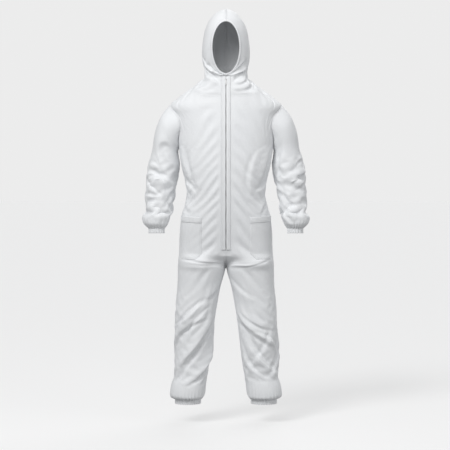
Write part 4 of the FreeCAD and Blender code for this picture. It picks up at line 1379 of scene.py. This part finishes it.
def make_pocket(front, label, side):
    """A patch pocket, sewn on at its sides and bottom, with a hem along its open top."""
    x, z, edge, t = pocket_places()
    place, out = front.at(side * x, z)
    across = place[..., 0].copy()
    for _ in range(3):
        place, out = [soften(soften(v, 2).swapaxes(0, 1), 2).swapaxes(0, 1) for v in (place, out)]
    place[..., 0], place[..., 2] = across, z
    out /= np.linalg.norm(out, axis=2)[..., None]
    puff = 1 - np.exp(-edge / 0.020)
    wave = np.sin(x / 0.019 + z / 0.031 + side) * np.sin(z / 0.023 - x / 0.041 + 2 * side)
    pucker = np.exp(-edge / 0.007) * np.sin((x + z) / 0.0019 + 2 * np.sin(z / 0.013))
    lift = 0.0020 + puff * (0.0030 + 0.0048 * t ** 2 + 0.0011 * wave) + 0.0003 * pucker
    lift -= 0.0006 * np.exp(-((edge - 0.0035) / 0.0012) ** 2)
    lift = np.maximum(lift - 0.0009 * np.exp(-edge / 0.0015), 0.0010)
    pocket = shell(label + "_pocket_cloth", place + out * lift[..., None],
                   place + out * (lift - 0.0009)[..., None], edge)
    hem_rows = np.flatnonzero(z[:, 0] > z[-1, 0] - POCKET_HEM)
    top, up, rise = place[hem_rows], out[hem_rows], lift[hem_rows]
    gap = np.abs(z[hem_rows] - z[hem_rows[0]])
    thick = 0.0016 - 0.0008 * np.exp(-(gap / 0.0015) ** 2)
    far = gap.max() - gap
    thick -= 0.0005 * np.exp(-(far / 0.0015) ** 2)
    top = top + 0.0008 * (np.arange(len(hem_rows)) == len(hem_rows) - 1)[:, None, None] * np.array(
        [0, 0, 1])
    hem = shell(label + "_pocket_hem_cloth", top + up * (rise + thick)[..., None],
                top + up * (rise + 0.0001)[..., None], gap)
    for obj, name in ((pocket, "_pocket"), (hem, "_pocket_hem")):
        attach(obj, "torso")
        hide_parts(label + name)
    return pocket, hem


# ---- materials ---------------------------------------------------------------------------------
class Paint:
    """Builds a material's nodes."""

    def __init__(self, name):
        self.material = bpy.data.materials.new(name)
        self.material.use_nodes = True
        self.tree = self.material.node_tree
        self.surface = self.tree.nodes["Principled BSDF"]

    def node(self, kind, links=(), **values):
        node = self.tree.nodes.new("ShaderNode" + kind)
        for key, value in values.items():
            setattr(node, key, value)
        for socket, source in links:
            self.put(node.inputs[socket], source)
        return node

    def put(self, socket, source):
        if isinstance(source, bpy.types.NodeSocket):
            self.tree.links.new(source, socket)
        else:
            socket.default_value = source

    def math(self, operation, *sources):
        return self.node("Math", enumerate(sources), operation=operation).outputs[0]

    def noise(self, where, scale, detail=3.0, rough=0.55):
        return self.node("TexNoise", (("Vector", where), ("Scale", scale), ("Detail", detail),
                                      ("Roughness", rough))).outputs["Fac"]

    def blend(self, share, first, second):
        mix = self.node("Mix", (("Factor", share),), data_type="RGBA")
        self.put(mix.inputs[6], first)
        self.put(mix.inputs[7], second)
        return mix.outputs[2]

    def bump(self, height, distance, before=None):
        links = [("Height", height), ("Distance", distance), ("Strength", 1.0)]
        node = self.node("Bump", links + ([("Normal", before)] if before else []))
        return node.outputs[0]

    def between(self, value, low, high):
        """1 where the value is between two limits."""
        return self.math("MULTIPLY", self.math("GREATER_THAN", value, low),
                         self.math("LESS_THAN", value, high))

    def weave(self, flat, pitch):
        """Threads over and under each other, at a pitch in metres."""
        parts = self.node("SeparateXYZ", (("Vector", flat),))
        turn = math.pi / pitch
        one = self.math("SINE", self.math("MULTIPLY", parts.outputs[0], turn))
        two = self.math("SINE", self.math("MULTIPLY", parts.outputs[1], turn))
        return self.math("MULTIPLY", one, two)


def cloth_material():
    """Fine white cloth: close weave, soft crinkle, a little sheen, stitches by the seams, and
    painted shade along each seam's middle.
    """
    p = Paint("cloth")
    flat = p.node("UVMap", uv_map="cloth").outputs[0]
    seam = p.node("SeparateXYZ", (("Vector", p.node("UVMap", uv_map="seam").outputs[0]),)).outputs
    where = p.node("TexCoord").outputs["Object"]
    broad, crinkle = p.noise(where, 6.0), p.noise(where, 85.0, 4.0, 0.6)
    rows = p.math("ADD", p.between(seam[0], 0.0031, 0.0039), p.between(seam[0], 0.0076, 0.0084))
    dash = p.math("FRACT", p.math("DIVIDE", seam[1], 0.0034))
    stitch = p.math("MULTIPLY", rows, p.math("LESS_THAN", dash, 0.72))
    # painted shade: a mask along the middle of each seam, where the pressed-in groove lies in shade
    seam_groove_shade = p.math("LESS_THAN", seam[0], 0.0007)
    white = p.blend(broad, CLOTH_DARK, CLOTH_LIGHT)
    white = p.blend(p.math("MULTIPLY", crinkle, 0.10), white, (0.70, 0.71, 0.72, 1))
    # painted shade in the seam grooves, greyed over the cloth's colour
    white = p.blend(p.math("MULTIPLY", seam_groove_shade, 0.30), white, (0.50, 0.51, 0.52, 1))
    white = p.blend(p.math("MULTIPLY", stitch, 0.22), white, (0.60, 0.61, 0.62, 1))
    p.put(p.surface.inputs["Base Color"], white)
    p.put(p.surface.inputs["Roughness"], p.math("ADD", p.math("MULTIPLY", crinkle, 0.16), 0.50))
    p.surface.inputs["Specular IOR Level"].default_value = 0.34
    p.surface.inputs["Sheen Weight"].default_value = 0.12
    p.surface.inputs["Sheen Roughness"].default_value = 0.45
    soft = p.bump(crinkle, 0.0007)
    dip = p.bump(p.math("SUBTRACT", 1.0, rows), 0.00035, soft)
    p.put(p.surface.inputs["Normal"], p.bump(p.weave(flat, 0.0006), 0.00006, dip))
    return p.material


def plain_material(name, colour, roughness, pitch=0.0, rib=0.0, metallic=0.0):
    """A pale finish with a little unevenness, and a weave or ribs if it has a pitch."""
    p = Paint(name)
    where = p.node("TexCoord").outputs["Object"]
    speck = p.noise(where, 240.0, 4.0)
    shade = tuple(0.86 * c for c in colour[:3]) + (1,)
    p.put(p.surface.inputs["Base Color"], p.blend(speck, shade, colour))
    p.put(p.surface.inputs["Roughness"],
          p.math("ADD", p.math("MULTIPLY", speck, 0.15), roughness - 0.07))
    p.surface.inputs["Metallic"].default_value = metallic
    normal = p.bump(speck, 0.00015)
    if pitch:
        parts = p.node("SeparateXYZ", (("Vector", where),))
        turn = 2 * math.pi / pitch
        lines = [p.math("SINE", p.math("MULTIPLY", parts.outputs[k], turn)) for k in (0, 2)]
        normal = p.bump(lines[1] if rib else p.math("MULTIPLY", *lines), 0.00018, normal)
    p.put(p.surface.inputs["Normal"], normal)
    return p.material


CLOTH_DARK, CLOTH_LIGHT = (0.82, 0.835, 0.855, 1), (0.88, 0.89, 0.90, 1)


make_camera()
make_studio()
suit = sew()
cloth = hang(suit)
cloth[:, 2] -= NECK_BASE
fine = FineCloth(suit, cloth)
piece_of, piece_names = name_pieces(fine)
pieces = {}
for number, name in enumerate(piece_names):
    label = name.split("_")[0]
    mine = np.flatnonzero(piece_of == number)
    piece = cut_piece(name + "_cloth", fine, mine)
    pieces[name] = piece
    mount_piece(piece, name, label)
    declare_panel(fine, mine)

coarse_faces = quads(suit)[0]
outward = normals_of(cloth, coarse_faces)
front = Front(fine)
white = cloth_material()
elastic = plain_material("elastic", (0.72, 0.72, 0.71, 1), 0.75, 0.0016, 1.0)
tape = plain_material("zip_tape", (0.70, 0.70, 0.70, 1), 0.80, 0.0010)
plastic = plain_material("zip_plastic", (0.78, 0.78, 0.77, 1), 0.38)
metal = plain_material("zip_metal", (0.66, 0.66, 0.66, 1), 0.32, metallic=0.25)
soft = list(pieces.values())
soft.append(make_casing(suit, cloth, outward))
soft.append(make_crown_seam(suit, cloth, outward))
for label, side in SIDES:
    for part, body, spot, radius, start in (
            ("wrist", "forearm", (0.296, -0.040, -0.566), 0.030, 1.0),
            ("ankle", "shin", (0.164, 0.012, -1.304), 0.052, 2.0)):
        hem = make_hem(f"{label}_{part}_hem_cloth", (side * spot[0], spot[1]), radius, spot[2],
                       start * side)
        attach(hem, f"{label}_{body}")
        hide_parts(f"{label}_{part}_hem", f"{label}_{part}_elastic")
        soft.append(hem)
    soft.append(make_placket(front, label, side))
    soft.extend(make_pocket(front, label, side))
for obj in soft:
    obj.data.materials.append(white)
make_waist_elastic(suit, cloth, outward).data.materials.append(elastic)
for name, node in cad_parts.items():
    finish = {"zip_tape": tape, "zip_teeth": plastic, "zip_bottom_stop": plastic,
              "zip_top_stops": plastic, "zip_slider": metal, "zip_pull": metal}
    key = name.replace("left_", "").replace("right_", "")
    if key in finish:
        node.data.materials.clear()
        node.data.materials.append(finish[key])
